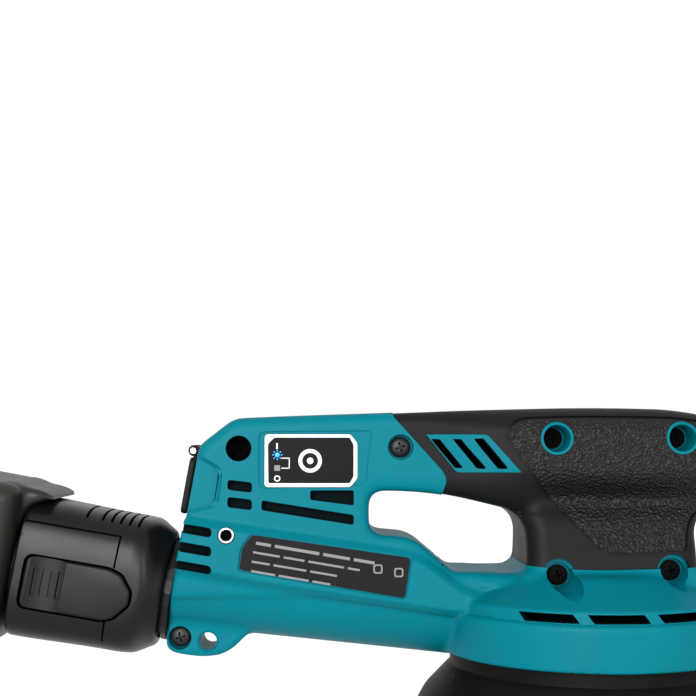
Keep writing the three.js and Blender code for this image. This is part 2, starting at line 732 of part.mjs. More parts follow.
function addHeadParts() {
  const r = HEAD_RADIUS;
  const skirtRim = PAD_RADIUS - 1.9;
  const rim = PLATE_TOP + 0.8;
  piece('skirt', turned([
    [r - 3.4, HEAD_BOTTOM - GAP],
    [r - 3.4, HEAD_BOTTOM - 5],
    [skirtRim - 2.3, HEAD_BOTTOM - 14.2],
    [skirtRim, rim],
    [skirtRim - 2.4, rim],
    [skirtRim - 4.6, HEAD_BOTTOM - 14.6],
    [r - 6, HEAD_BOTTOM - 5.6],
    [r - 6, HEAD_BOTTOM - GAP],
  ], 40), 'rubber');
  const seat = LOWER_BEARING_RADIUS + GAP;
  const plate = turned([
    [SHAFT_RADIUS + 0.8, BAFFLE_BASE],
    [BAFFLE_RADIUS, BAFFLE_BASE],
    [BAFFLE_RADIUS, BAFFLE_BASE + BAFFLE_T],
    [seat + WALL, BAFFLE_BASE + BAFFLE_T],
    [seat + WALL, HUB_TOP],
    [seat, HUB_TOP],
    [seat, LOWER_BEARING_BASE - GAP],
    [SHAFT_RADIUS + 0.8, LOWER_BEARING_BASE - GAP],
  ], 32);
  piece('bearing_plate', cut(plate, rod(DUCT_RADIUS - DUCT_WALL, 0, 60, DUCT_START.x, 0)), 'aluminium');
}

function addMotor() {
  const bore = ROTOR_RADIUS + AIR_GAP;
  const bearingBore = SHAFT_RADIUS + GAP;
  const upperTop = UPPER_BEARING_BASE + UPPER_BEARING_T;
  piece('stator_core', ring(bore, STATOR_RADIUS, MOTOR_BOTTOM, MOTOR_TOP, 28), 'darkSteel');
  piece('winding_upper', ring(bore + 1.5, STATOR_RADIUS - 3, MOTOR_TOP + GAP, MOTOR_TOP + GAP + WINDING_T), 'copper');
  piece('winding_lower', ring(bore + 1.5, STATOR_RADIUS - 3, MOTOR_BOTTOM - GAP - WINDING_T, MOTOR_BOTTOM - GAP), 'copper');
  piece('upper_bearing', ring(bearingBore, UPPER_BEARING_RADIUS, UPPER_BEARING_BASE, upperTop, 18), 'steel');
  piece('lower_bearing', ring(bearingBore, LOWER_BEARING_RADIUS, LOWER_BEARING_BASE, HUB_TOP, 18), 'steel');
  piece('motor_rotor', ring(bearingBore, ROTOR_RADIUS, MOTOR_BOTTOM, MOTOR_TOP), 'darkSteel');
  piece('motor_shaft', rod(SHAFT_RADIUS, PAD_BEARING_BASE + PAD_BEARING_T + 0.7, SHAFT_TOP, 0, 0, 16), 'steel');
}

function fanBody() {
  const hub = SHAFT_RADIUS + 3.5;
  const plate = rod(FAN_RADIUS, FAN_BASE, FAN_BASE + FAN_PLATE_T, 0, 0, 32);
  const blade = block(hub + 5, FAN_RADIUS - 1, -0.8, 0.8, FAN_BASE + 0.5, FAN_TOP);
  blade.rotateZ(0.45);
  blade.translate(0, -6, 0);
  const blades = Array.from({ length: FAN_BLADES }, (_, i) => {
    const turn = new THREE.Matrix4().makeRotationZ((i * 2 * Math.PI) / FAN_BLADES);
    return placed(blade, turn);
  });
  const body = join(plate, rod(hub, FAN_BASE, FAN_TOP), ...blades);
  const trimmed = body.intersect(rod(FAN_RADIUS, FAN_BASE, FAN_TOP, 0, 0, 32));
  return cut(trimmed, rod(SHAFT_RADIUS + GAP, 0, 60));
}

// The counterweight carries the pad bearing off centre and balances the pad.
function weightBody() {
  const seat = PAD_BEARING_RADIUS + GAP;
  const cup = rod(seat + 2.3, PAD_BEARING_BASE, WEIGHT_TOP, ORBIT, 0, 24);
  const lobe = rod(21, PAD_BEARING_BASE, WEIGHT_TOP, 0, 0, 28);
  const half = lobe.intersect(slab(-40, -2, -40, 40, 0, 60));
  const pocket = rod(seat, 0, PAD_BEARING_BASE + PAD_BEARING_T + GAP, ORBIT, 0, 24);
  return cut(join(cup, half), pocket, rod(SHAFT_RADIUS + GAP, 0, 60));
}

function addRotorParts() {
  const top = PAD_BEARING_BASE + PAD_BEARING_T;
  piece('fan', fanBody(), 'blackPlastic');
  piece('counterweight', weightBody(), 'steel');
  const bearing = turnedGeometry([[HUB_RADIUS + GAP, PAD_BEARING_BASE], [PAD_BEARING_RADIUS, PAD_BEARING_BASE],
    [PAD_BEARING_RADIUS, top], [HUB_RADIUS + GAP, top]], 20);
  piece('pad_bearing', solid(bearing.translate(ORBIT, 0, 0)), 'steel');
}

// A pad disc with its ring of dust holes, on the pad axis.
function padDisc(base, top, radius, core) {
  const holes = Array.from({ length: DUST_HOLE_COUNT }, (_, i) => {
    const angle = ((i + 0.5) * 2 * Math.PI) / DUST_HOLE_COUNT;
    const x = ORBIT + DUST_CIRCLE_RADIUS * Math.cos(angle);
    return rod(DUST_HOLE_RADIUS, base - 1, top + 1, x, DUST_CIRCLE_RADIUS * Math.sin(angle), 10);
  });
  const disc = rod(radius, base, top, ORBIT, 0, 44);
  const body = cut(disc, ...holes);
  return core > 0 ? cut(body, rod(core, base - 1, top + 1, ORBIT, 0, 16)) : body;
}

function addPad() {
  const screwHead = 5.5;
  const shank = 2.8;
  const plate = padDisc(PLATE_BASE, PLATE_TOP, PAD_RADIUS - 1.5, 0);
  const boss = rod(HUB_RADIUS, PLATE_TOP - 1, PAD_BEARING_BASE + PAD_BEARING_T - 0.4, ORBIT, 0, 18);
  const collar = rod(HUB_RADIUS + 3, PLATE_TOP - 1, PAD_BEARING_BASE - 0.8, ORBIT, 0, 18);
  const bore = rod(shank + GAP, 0, 40, ORBIT, 0, 12);
  piece('backing_plate', cut(join(plate, boss, collar), bore), 'blackPlastic');
  piece('foam_pad', padDisc(FOAM_BASE, FOAM_BASE + FOAM_T, PAD_RADIUS - 0.4, screwHead + 2), 'foam');
  piece('hook_face', padDisc(HOOK_BASE, HOOK_BASE + HOOK_T, PAD_RADIUS - 0.4, screwHead + 2), 'hook');
  piece('abrasive_disc', padDisc(0, ABRASIVE_T, PAD_RADIUS, 0), 'abrasive');
  const head = rod(screwHead, PLATE_BASE - GAP - 3, PLATE_BASE - GAP, ORBIT, 0, 6);
  const stem = rod(shank, PLATE_BASE - 1, PAD_BEARING_BASE + PAD_BEARING_T - 0.8, ORBIT, 0, 12);
  piece('pad_screw', join(head, stem), 'darkSteel');
}

// ---- Duct, electronics, controls ----

function addDuct() {
  const bore = DUCT_RADIUS - DUCT_WALL;
  const past = DUCT_END.clone().add(DUCT_END.clone().sub(DUCT_START).normalize().multiplyScalar(20));
  const outer = join(
    pipe(DUCT_RADIUS, DUCT_START, DUCT_END),
    rod(DUCT_RADIUS, BAFFLE_BASE + BAFFLE_T + GAP, DUCT_START.z, DUCT_START.x, 0),
    solid(new THREE.SphereGeometry(DUCT_RADIUS - 0.05, 14, 8).translate(...DUCT_START)),
  );
  const inner = join(
    pipe(bore, DUCT_START, past),
    rod(bore, 0, DUCT_START.z, DUCT_START.x, 0),
    solid(new THREE.SphereGeometry(bore - 0.05, 14, 8).translate(...DUCT_START)),
  );
  piece('dust_duct', cut(outer, inner), 'blackPlastic');
}

// A part turned about the outlet axis, from [radius, distance behind the rear face].
function outletTurned(points, segments = 26) {
  const geometry = turnedGeometry(points, segments);
  return geometry.rotateY(Math.PI / 2);
}

function addSpigot() {
  const r = SPIGOT_RADIUS;
  const neck = DUCT_RADIUS + GAP + 0.6;
  const body = solid(outletTurned([[neck, GAP], [r + 2, GAP], [r + 2, 2], [r, 2], [r, SPIGOT_LENGTH],
    [r - 2.2, SPIGOT_LENGTH], [r - 2.2, 5], [neck, 3]]));
  piece('outlet_spigot', body, 'blackPlastic', rearFittings);
}

function addElectronics() {
  const rear = REAR_X + 26;
  const front = REAR_X + 58.5;
  const base = SHELF_Z + 13;
  const heatSink = slab(rear, front, -11, 11, base, base + 14);
  const ribs = [0, 1, 2, 3].map((i) => slab(rear, front, -10 + i * 6, -8 + i * 6, base + 13, base + 19));
  piece('controller', join(heatSink, ...ribs), 'aluminium');
  const boardZ = TOOL_TOP - 19;
  piece('switch_board', slab(REAR_X + 29, REAR_X + 60, -14, 14, boardZ, boardZ + 1.6), 'circuit');
}

function addInlet() {
  const half = INLET_HALF_WIDTH;
  const body = cut(
    slab(-INLET_DEPTH, -GAP, -half, half, INLET_LOW, INLET_HIGH),
    slab(-INLET_DEPTH + 3, 1, -half + 3, half - 3, INLET_LOW + 3, INLET_HIGH - 3),
  );
  piece('power_inlet', body, 'blackPlastic', rearFittings);
  const { x, z, radius, half: knuckle } = CAP_HINGE;
  const flap = slab(0.3, 2.6, -half - 1.5, half + 1.5, INLET_LOW - 1.5, z - radius - 0.2);
  const lift = slab(0.3, x, -knuckle, knuckle, z - radius - 1, z);
  const barrel = crossRod(radius, -knuckle, knuckle, x, z, 16);
  const bore = crossRod(HINGE_PIN_RADIUS + GAP, -20, 20, x, z, 12);
  piece('inlet_cap', cut(join(flap, lift, barrel), bore), 'rubber', rearFittings);
  piece('cap_pin', crossRod(HINGE_PIN_RADIUS, -knuckle - 3, knuckle + 3, x, z, 12), 'steel', rearFittings);
}

function addControls() {
  const low = TOOL_TOP - 15.6;
  const crown = TOOL_TOP - 3.4;
  piece('start_button', rod(BUTTON_RADIUS, low, crown, START_X, 0, 16), 'blackPlastic');
  piece('stop_button', rod(BUTTON_RADIUS, low, crown + 0.5, STOP_X, 0, 16), 'blackPlastic');
  const dial = join(rod(DIAL_RADIUS, TOOL_TOP - 6.6, TOOL_TOP - 2.7, DIAL_X, 0, 20),
    rod(3, low + 1, TOOL_TOP - 5, DIAL_X, 0, 10));
  piece('speed_dial', dial, 'blackPlastic');
}

function addTrim() {
  const surface = PLATE.recess - GAP;
  const label = prism(labelOutline(), surface - LABEL.t - HANDLE_HALF, surface - HANDLE_HALF);
  const lensHole = crossRod(LENS.radius + GAP, -40, 0, LENS.x, LENS.z, 8);
  piece('control_label', cut(label, lensHole), 'whitePlate');
  piece('status_lens', crossRod(LENS.radius, -HANDLE_HALF, LENS.depth - HANDLE_HALF, LENS.x, LENS.z, 8), 'lens');
  piece('rating_plate', prism(plateOutline(), surface - PLATE.t - BELT_HALF, surface - BELT_HALF), 'darkPlate');
  const { x, z, outer, inner, depth } = EYELET;
  const eyelet = cut(crossRod(outer, -BELT_HALF, depth - BELT_HALF, x, z), crossRod(inner, -40, 0, x, z, 12));
  piece('eyelet', eyelet, 'steel');
}

// ---- Dust box, in the frame of the rear face ----

const LATCH = { x0: 15.5, x1: 49.2, low: -11.7, high: 5.5, inner: 20.4, outer: CUFF_RADIUS + 0.4 };
const POCKET_FLOOR = SPIGOT_RADIUS + 2;

function latchOutline() {
  const { x0, x1, low, high } = LATCH;
  return outline([[x1, low], [x1, high], [x0 + 9, high], [x0 + 3.5, high - 1.6], [x0, high - 6.5],
    [x0, low + 6.5], [x0 + 4.5, low + 1], [x0 + 8, low]]);
}

function cuffBody() {
  const r = CUFF_RADIUS;
  const bore = SPIGOT_RADIUS + 0.4;
  const throat = SPIGOT_RADIUS - 2.2;
  const seat = SPIGOT_LENGTH + 3;
  const sleeve = solid(outletTurned([[bore, CUFF_START], [r - 2, CUFF_START], [r, CUFF_START + 3],
    [r, 42], [r + 1.4, CUFF_END], [throat, CUFF_END], [throat, seat], [bore, seat]], 32));
  const cheeks = prism(outline([[CUFF_START + 8, -14], [CUFF_END - 0.5, -14],
    [CUFF_END - 0.5, 9], [CUFF_START + 8, 9]]), -r + 0.6, r - 0.6, 2);
  const body = join(sleeve, cheeks);
  const clear = offsetOutline(latchOutline(), GAP + 0.2);
  const bored = solid(outletTurned([[0, -1], [bore, -1], [bore, seat], [throat, seat],
    [throat, CUFF_END + 2], [0, CUFF_END + 2]], 26));
  return cut(body, bored, prism(clear, POCKET_FLOOR, 40), prism(clear, -40, -POCKET_FLOOR));
}

function addCuff() {
  piece('cuff', cuffBody(), 'blackPlastic', dustBox);
  const { x0, x1, low, high, inner, outer } = LATCH;
  for (const [name, side] of [['right', 1], ['left', -1]]) {
    const [y0, y1] = [side * inner, side * outer].sort((a, b) => a - b);
    piece(`latch_button_${name}`, prism(latchOutline(), y0, y1, 0.8), 'blackPlastic', dustBox);
    const [s0, s1] = [side * (POCKET_FLOOR + GAP), side * (POCKET_FLOOR + GAP + 0.5)].sort((a, b) => a - b);
    const spring = slab(x0 + 10, x1 - 4, s0, s1, (low + high) / 2 - 2.5, (low + high) / 2 + 2.5);
    piece(`latch_spring_${name}`, spring, 'steel', dustBox);
  }
  const r = SPIGOT_RADIUS;
  piece('throat_seal', solid(outletTurned([[r - 2, CUFF_END + GAP], [r + 4, CUFF_END + GAP],
    [r + 4, BOX_FRONT - GAP], [r - 2, BOX_FRONT - GAP]], 20)), 'rubber', dustBox);
}

// The dust box in side view.
function boxOutline() {
  const h = BOX_HALF_HEIGHT;
  return outline([[BOX_FRONT, h], [BOX_REAR, h], [BOX_REAR, -h], [BOX_FRONT + 7, -h],
    [BOX_FRONT + 1.5, -h + 1.8], [BOX_FRONT, -h + 7]]);
}

// The hood of the dust box reaches forward over the cuff.
function hoodOutline() {
  const h = BOX_HALF_HEIGHT;
  const low = CUFF_RADIUS + 1.6;
  const shape = new THREE.Shape();
  shape.moveTo(BOX_FRONT + 4, low - 10);
  shape.lineTo(BOX_FRONT, low - 10);
  shape.quadraticCurveTo(BOX_FRONT - 2, low - 3, BOX_FRONT - 9, low);
  shape.lineTo(BOX_FRONT - 11, low);
  shape.quadraticCurveTo(BOX_FRONT - 7, h - 0.6, BOX_FRONT, h - 0.4);
  shape.lineTo(BOX_FRONT + 4, h - 0.4);
  return shape;
}

const LID_HINGE = { x: BOX_REAR + 2.6, z: BOX_HALF_HEIGHT + 2.8, radius: 2.6, half: 14 };

function addDustBox() {
  const h = BOX_HALF_HEIGHT;
  const w = BOX_HALF_WIDTH;
  const outer = join(prism(boxOutline(), -w, w, 6), prism(hoodOutline(), 7 - w, w - 7));
  const room = prism(outline([[BOX_FRONT + 2.5, -h + 8], [BOX_FRONT + 8, -h + BOX_WALL + 0.5],
    [BOX_REAR + 9, -h + BOX_WALL + 0.5], [BOX_REAR + 9, h - BOX_WALL - 0.5], [BOX_FRONT + 2.5, h - BOX_WALL - 0.5]]),
  -w + BOX_WALL, w - BOX_WALL, 5);
  const throat = solid(outletTurned([[0, BOX_FRONT - 2], [SPIGOT_RADIUS - 2, BOX_FRONT - 2],
    [SPIGOT_RADIUS - 2, BOX_FRONT + 5], [0, BOX_FRONT + 5]], 20));
  const cuffClear = solid(outletTurned([[0, 30], [CUFF_RADIUS + 1.5, 30], [CUFF_RADIUS + 2, BOX_FRONT - 0.1],
    [0, BOX_FRONT - 0.1]], 24));
  const { x, z, radius, half } = LID_HINGE;
  const ears = [-1, 1].map((side) => {
    const [y0, y1] = [side * (half + GAP), side * (half + GAP + 4)].sort((a, b) => a - b);
    return join(crossRod(radius, y0, y1, x, z, 18), slab(BOX_REAR - 8, x - 0.5, y0, y1, h - 1.5, z + radius * 0.6));
  });
  const hole = crossRod(HINGE_PIN_RADIUS + GAP, -30, 30, x, z, 12);
  const slotFree = slab(BOX_REAR, BOX_REAR + 20, -60, 60, -60, h + 0.6);
  const shell = cut(join(outer, ...ears), room, throat, cuffClear, hole, slotFree);
  piece('box_shell', shell, 'blackPlastic', dustBox);
  piece('lid_pin', crossRod(HINGE_PIN_RADIUS, -half - 4, half + 4, x, z, 12), 'steel', dustBox);
}

function addLid() {
  const h = BOX_HALF_HEIGHT;
  const w = BOX_HALF_WIDTH;
  const { x, z, radius, half } = LID_HINGE;
  const x0 = BOX_REAR + GAP;
  const plate = prism(outline([[x0, -h], [x0 + LID_T, -h], [x0 + LID_T, h - 0.4], [x0, h - 0.4]]), -w, w, 1);
  const lift = slab(x0 + 0.4, x0 + LID_T - 0.4, -half, half, h - 1, z);
  const barrel = crossRod(radius, -half, half, x, z, 18);
  const bore = crossRod(HINGE_PIN_RADIUS + GAP, -60, 60, x, z, 12);
  piece('box_lid', cut(join(plate, lift, barrel), bore), 'blackPlastic', dustBox);
  const back = x0 + LID_T + GAP;
  const clip = join(
    slab(back, back + 2.4, -8, 8, -h - 3.2, -h + 12),
    slab(BOX_REAR - 7, back + 1, -8, 8, -h - 3.2, -h - 1),
  );
  piece('lid_latch', clip, 'blackPlastic', dustBox);
}

// The pleated filter stands on a frame just inside the lid.
function addFilter() {
  const w = BOX_HALF_WIDTH - 9;
  const h = BOX_HALF_HEIGHT - 7;
  const x1 = BOX_REAR - 1;
  const frame = cut(slab(x1 - 3, x1, -w - 3, w + 3, -h - 3, h + 3), slab(x1 - 4, x1 + 1, -w + 3, w - 3, -h + 3, h - 3));
  piece('filter_frame', frame, 'blackPlastic', dustBox);
  const pleats = 9;
  const pitch = (2 * h) / pleats;
  const front = x1 - 27;
  const points = [[x1 - 3 - GAP, -h], [x1 - 3 - GAP, h]];
  for (let i = 0; i < pleats; i += 1) {
    points.push([front, h - pitch * (i + 0.25)]);
    points.push([front + 8, h - pitch * (i + 0.75)]);
  }
  points[points.length - 1][1] = -h;
  piece('filter_cartridge', prism(outline(points), -w, w), 'filter', dustBox);
}

// ---- Assembly ----

addHousing();
addGripSkins();
addScrews();
addHeadParts();
addMotor();
addRotorParts();
addPad();
addDuct();
addSpigot();
addElectronics();
addInlet();
addControls();
addTrim();
addCuff();
addDustBox();
addLid();
addFilter();

export default sander;
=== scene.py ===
"""Random orbit sander with a palm grip and a clip-on dust box: every visible piece and finish.

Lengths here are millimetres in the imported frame: +X towards the nose, +Z up, the origin at the
centre of the sanding face under the motor axis. Finished meshes are written in metres.

Turned, lofted and gridded pieces are parametric surfaces. The moulded shells blend many bodies
into each other, which no single grid can carry, so they are level surfaces of a distance field.
"""

from __future__ import annotations

import logging
import math
import sys
from collections.abc import Callable, Sequence
from dataclasses import dataclass, field
from enum import Enum
from functools import reduce

import bpy
import numpy as np
from mathutils import Euler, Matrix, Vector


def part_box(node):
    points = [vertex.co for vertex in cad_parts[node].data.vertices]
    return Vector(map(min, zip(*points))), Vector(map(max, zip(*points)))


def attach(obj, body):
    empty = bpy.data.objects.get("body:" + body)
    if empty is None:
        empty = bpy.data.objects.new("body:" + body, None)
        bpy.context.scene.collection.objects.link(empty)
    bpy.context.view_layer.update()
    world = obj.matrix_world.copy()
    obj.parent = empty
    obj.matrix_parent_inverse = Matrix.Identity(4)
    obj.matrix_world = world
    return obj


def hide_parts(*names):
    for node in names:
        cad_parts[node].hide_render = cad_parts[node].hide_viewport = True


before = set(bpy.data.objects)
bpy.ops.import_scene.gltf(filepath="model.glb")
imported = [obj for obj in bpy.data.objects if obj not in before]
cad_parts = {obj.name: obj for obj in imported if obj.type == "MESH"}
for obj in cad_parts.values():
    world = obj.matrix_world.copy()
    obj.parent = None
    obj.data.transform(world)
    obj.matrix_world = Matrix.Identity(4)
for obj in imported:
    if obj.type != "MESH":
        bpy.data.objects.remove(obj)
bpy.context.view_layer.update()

log = logging.getLogger("sander")
Array = np.ndarray
Field = Callable[[Array, Array, Array], Array]
MM = 0.001
# Radius of the bore that each hinge pin runs in.
PIN_HOLE = 1.3
# Period of the slow drift in every finish's colour and roughness.
PATCH_MM = 14.0


# ---- Small numeric tools ----


def smooth_min(a: Array, b: Array, blend: float) -> Array:
    """Joins two distance fields with a fillet.

    Args:
        a: First field.
        b: Second field.
        blend: Width in mm over which the lower field is pulled below both.

    Returns:
        The lower of the two, less a parabola where they are within `blend` of each other.
    """
    near = np.maximum(blend - np.abs(a - b), 0) / blend
    return np.minimum(a, b) - near * near * blend / 4


def smooth_max(a: Array, b: Array, blend: float) -> Array:
    """Intersects two fields with a rounded edge `blend` wide: the mirror image of smooth_min."""
    return -smooth_min(-a, -b, blend)


def rimmed(flat: Array, side: Array, rim: Array | float) -> Array:
    """Field of an extrusion whose edges are rounded.

    Args:
        flat: Distance to the outline in its plane.
        side: Distance to the end faces.
        rim: Edge radius, which may vary over the body.

    Returns:
        Distance to the quarter-round that the two distances describe.
    """
    a, b = flat + rim, side + rim
    return np.hypot(np.maximum(a, 0), np.maximum(b, 0)) + np.minimum(np.maximum(a, b), 0) - rim


def chamfered(flat: Array, side: Array, bevel: float) -> Array:
    """Field of an extrusion with 45 degree edges: the highest of both distances and their cut."""
    return np.maximum(np.maximum(flat, side), (flat + side + bevel) * math.sqrt(0.5))


def step_up(value: Array, low: float, high: float) -> Array:
    """Smoothstep from 0 at `low` to 1 at `high` (or down, where high is the smaller)."""
    t = np.clip((value - low) / (high - low), 0, 1)
    return t * t * (3 - 2 * t)


def bump(value: Array, centre: float, width: float) -> Array:
    """Bell curve of height 1 around `centre`: exp(-(distance / width) squared)."""
    return np.exp(-(((value - centre) / width) ** 2))


@dataclass(frozen=True)
class Outline:
    """A closed outline in a plane, as an (n, 2) array of points in mm."""

    points: Array

    @classmethod
    def rounded(cls, corners: Sequence[tuple[float, float, float]], steps: int = 6) -> Outline:
        """Turns each corner into a quadratic curve.

        Args:
            corners: (x, z, reach) of each corner; the curve starts and ends `reach` away from it.
            steps: Points on each curve.

        Returns:
            The outline, where a reach of 0 leaves a sharp corner.
        """
        data = np.array(corners, float)
        corner, reach = data[:, None, :2], data[:, None, 2:]
        towards = [np.roll(data[:, :2], k, 0)[:, None] - corner for k in (1, -1)]
        ends = [corner + reach * v / np.linalg.norm(v, axis=2, keepdims=True) for v in towards]
        t = np.linspace(0, 1, steps)[None, :, None]
        curve = (1 - t) ** 2 * ends[0] + 2 * t * (1 - t) * corner + t * t * ends[1]
        points = curve.reshape(-1, 2)
        moved = np.linalg.norm(points - np.roll(points, 1, 0), axis=1)
        return cls(points[moved > 1e-3])

    @classmethod
    def circle(cls, x: float, z: float, radius: float, steps: int = 40) -> Outline:
        """Circle about x, z."""
        a = np.arange(steps) * 2 * math.pi / steps
        return cls(np.stack([x + radius * np.cos(a), z + radius * np.sin(a)], 1))

    @classmethod
    def box(cls, x0: float, x1: float, z0: float, z1: float, reach: float = 0) -> Outline:
        """Rectangle with its four corners rounded by `reach`."""
        return cls.rounded([(x0, z0, reach), (x1, z0, reach), (x1, z1, reach), (x0, z1, reach)])

    def area(self) -> float:
        """Signed area by the shoelace sum, positive where the points run anticlockwise."""
        x, z = self.points.T
        return 0.5 * float(np.sum(x * np.roll(z, -1) - z * np.roll(x, -1)))

    def offset(self, distance: float) -> Outline:
        """Moves each point along its mitre, outwards for a positive distance."""
        p = self.points
        into, out = p - np.roll(p, 1, 0), np.roll(p, -1, 0) - p
        into, out = (v / np.linalg.norm(v, axis=1, keepdims=True) for v in (into, out))
        mitre = np.stack([into[:, 1] + out[:, 1], -into[:, 0] - out[:, 0]], 1)
        mitre /= np.linalg.norm(mitre, axis=1, keepdims=True)
        spread = np.maximum(0.5, mitre[:, 0] * out[:, 1] - mitre[:, 1] * out[:, 0])
        return Outline(p + mitre * (math.copysign(distance, distance * self.area()) / spread)[:, None])

    def distance(self, x: Array, z: Array) -> Array:
        """Signed distance to the outline.

        Args:
            x: First coordinate, any shape that broadcasts with z.
            z: Second coordinate.

        Returns:
            Distance to the nearest edge, negative where a ray crosses the outline an odd number
            of times.
        """
        x, z = np.broadcast_arrays(x, z)
        nearest = np.full(x.shape, np.inf)
        inside = np.zeros(x.shape, bool)
        for (ax, az), (bx, bz) in zip(self.points, np.roll(self.points, -1, 0)):
            ex, ez = bx - ax, bz - az
            t = np.clip(((x - ax) * ex + (z - az) * ez) / (ex * ex + ez * ez), 0, 1)
            nearest = np.minimum(nearest, (x - ax - t * ex) ** 2 + (z - az - t * ez) ** 2)
            if ez:
                inside ^= ((az <= z) != (bz <= z)) & (x < ax + (z - az) / ez * ex)
        return np.where(inside, -1, 1) * np.sqrt(nearest)


@dataclass(frozen=True)
class DistanceTable:
    """An outline's distance sampled on a plane grid and read back by bilinear interpolation."""

    low: tuple[float, float]
    step: float
    values: Array

    @classmethod
    def of(cls, outline: Outline, low: tuple[float, float], high: tuple[float, float],
           step: float) -> DistanceTable:
        """Samples the outline between two corners of the plane."""
        u, v = (np.arange(a, b + step, step) for a, b in zip(low, high))
        return cls(low, step, outline.distance(u[:, None], v[None, :]))

    def at(self, u: Array, v: Array) -> Array:
        """Distance at u, v: the four samples around it, weighted by nearness."""
        count = np.array(self.values.shape) - 2
        a = np.clip((u - self.low[0]) / self.step, 0, count[0] + 0.999)
        b = np.clip((v - self.low[1]) / self.step, 0, count[1] + 0.999)
        i, j = a.astype(int), b.astype(int)
        fa, fb = a - i, b - j
        t = self.values
        near = t[i, j] * (1 - fb) + t[i, j + 1] * fb
        return near * (1 - fa) + (t[i + 1, j] * (1 - fb) + t[i + 1, j + 1] * fb) * fa


@dataclass
class Surface:
    """Vertices in mm and faces as index lists, with a material index for each face."""

    points: Array
    faces: list[Sequence[int]]
    slots: list[int]

    @classmethod
    def grid(cls, points: Array, close_u: bool = False, slot: int = 0) -> Surface:
        """Quads over closed rings of points, with the open ends capped.

        Args:
            points: (m, n, 3) array: m rings of n points.
            close_u: Whether the last ring joins the first.
            slot: Material index of every face.

        Returns:
            The closed surface, facing outwards.
        """
        m, n = points.shape[:2]
        i, j = np.meshgrid(np.arange(m if close_u else m - 1), np.arange(n), indexing="ij")
        a, b = (i + 1) % m, (j + 1) % n
        quads = np.stack([i * n + j, a * n + j, a * n + b, i * n + b], -1).reshape(-1, 4)
        faces: list[Sequence[int]] = quads.tolist()
        if not close_u:
            faces += [list(range(n)), list(range(m * n - 1, m * n - n - 1, -1))]
        made = cls(points.reshape(-1, 3), faces, [slot] * len(faces))
        return made.outward()

    def volume(self) -> float:
        """Signed volume from a fan of triangles over each face."""
        total = 0.0
        for count in {len(f) for f in self.faces}:
            same = np.array([f for f in self.faces if len(f) == count])
            p = self.points[same]
            for k in range(1, count - 1):
                total += float(np.sum(p[:, 0] * np.cross(p[:, k], p[:, k + 1])))
        return total / 6

    def outward(self) -> Surface:
        """The same surface, with every face turned over if it encloses a negative volume."""
        if self.volume() < 0:
            self.faces = [list(reversed(f)) for f in self.faces]
        return self

    def turned_by(self, matrix: Array, offset: Sequence[float] = (0, 0, 0)) -> Surface:
        """A copy whose points are multiplied by a 3 by 3 matrix and moved by an offset."""
        moved = Surface(self.points @ matrix.T + np.array(offset), list(self.faces), list(self.slots))
        return moved.outward()

    @staticmethod
    def joined(*parts: Surface) -> Surface:
        """One surface with every part's faces."""
        start, points, faces, slots = 0, [], [], []
        for part in parts:
            points.append(part.points)
            faces += [[k + start for k in f] for f in part.faces]
            slots += part.slots
            start += len(part.points)
        return Surface(np.concatenate(points), faces, slots)


# Takes a part turned about Z to an axis along Y, its +Z end facing the right side (-Y).
TO_RIGHT = np.array([[1, 0, 0], [0, 0, -1], [0, 1, 0]], float)
# Takes an X-Z extrusion along Y to one along X, with its outline in the Y-Z plane.
TO_REAR = np.array([[0, 1, 0], [1, 0, 0], [0, 0, 1]], float)
# Take a part turned about Z to an axis along X, and to one along Y.
ALONG_X = np.array([[0, 0, 1], [0, 1, 0], [1, 0, 0]], float)
ALONG_Y = np.array([[1, 0, 0], [0, 0, 1], [0, 1, 0]], float)


def loft_y(sections: Sequence[tuple[float, Outline]], slot: int = 0) -> Surface:
    """Skin over X-Z outlines of the same point count, each held at its own y, with flat ends."""
    rings = [np.stack([o.points[:, 0], np.full(len(o.points), y), o.points[:, 1]], 1) for y, o in sections]
    return Surface.grid(np.array(rings), slot=slot)


def plate_y(shape: Outline, y0: float, y1: float, rim: float = 0, slot: int = 0) -> Surface:
    """Outline extruded from y0 to y1; its edges are quarter rounds of radius `rim` in 4 steps."""
    if not rim:
        return loft_y([(y0, shape), (y1, shape)], slot)
    turn = np.linspace(0, math.pi / 2, 5)
    near = [(y0 + rim * (1 - math.sin(a)), shape.offset(-rim * (1 - math.cos(a)))) for a in turn[::-1]]
    far = [(y1 - rim * (1 - math.sin(a)), shape.offset(-rim * (1 - math.cos(a)))) for a in turn]
    return loft_y(near + far, slot)


def side_plates(shape: Outline, near: float, far: float, slot: int = 0) -> list[Surface]:
    """The outline extruded between two distances from the middle plane, on the right and the left."""
    return [plate_y(shape, *sorted((side * near, side * far)), slot=slot) for side in (-1, 1)]


def pocket(shape: Outline, face: float, depth: float, bevel: float = 0.4, slot: int = 0) -> Surface:
    """Cutter for a pocket in a side face, with a bevelled mouth.

    Args:
        shape: The pocket's outline below its bevel.
        face: y of the side face, whose sign says which side it is.
        depth: How deep the pocket goes.
        bevel: Width of the 45 degree mouth.
        slot: Material index of the pocket's walls.

    Returns:
        A closed skin that widens by `bevel` up to the face and stays as wide outside it.
    """
    side = math.copysign(1, face)
    wide = shape.offset(bevel)
    levels = [(face + side * 4, wide), (face, wide), (face - side * bevel, shape),
              (face - side * depth, shape)]
    return loft_y(levels, slot)


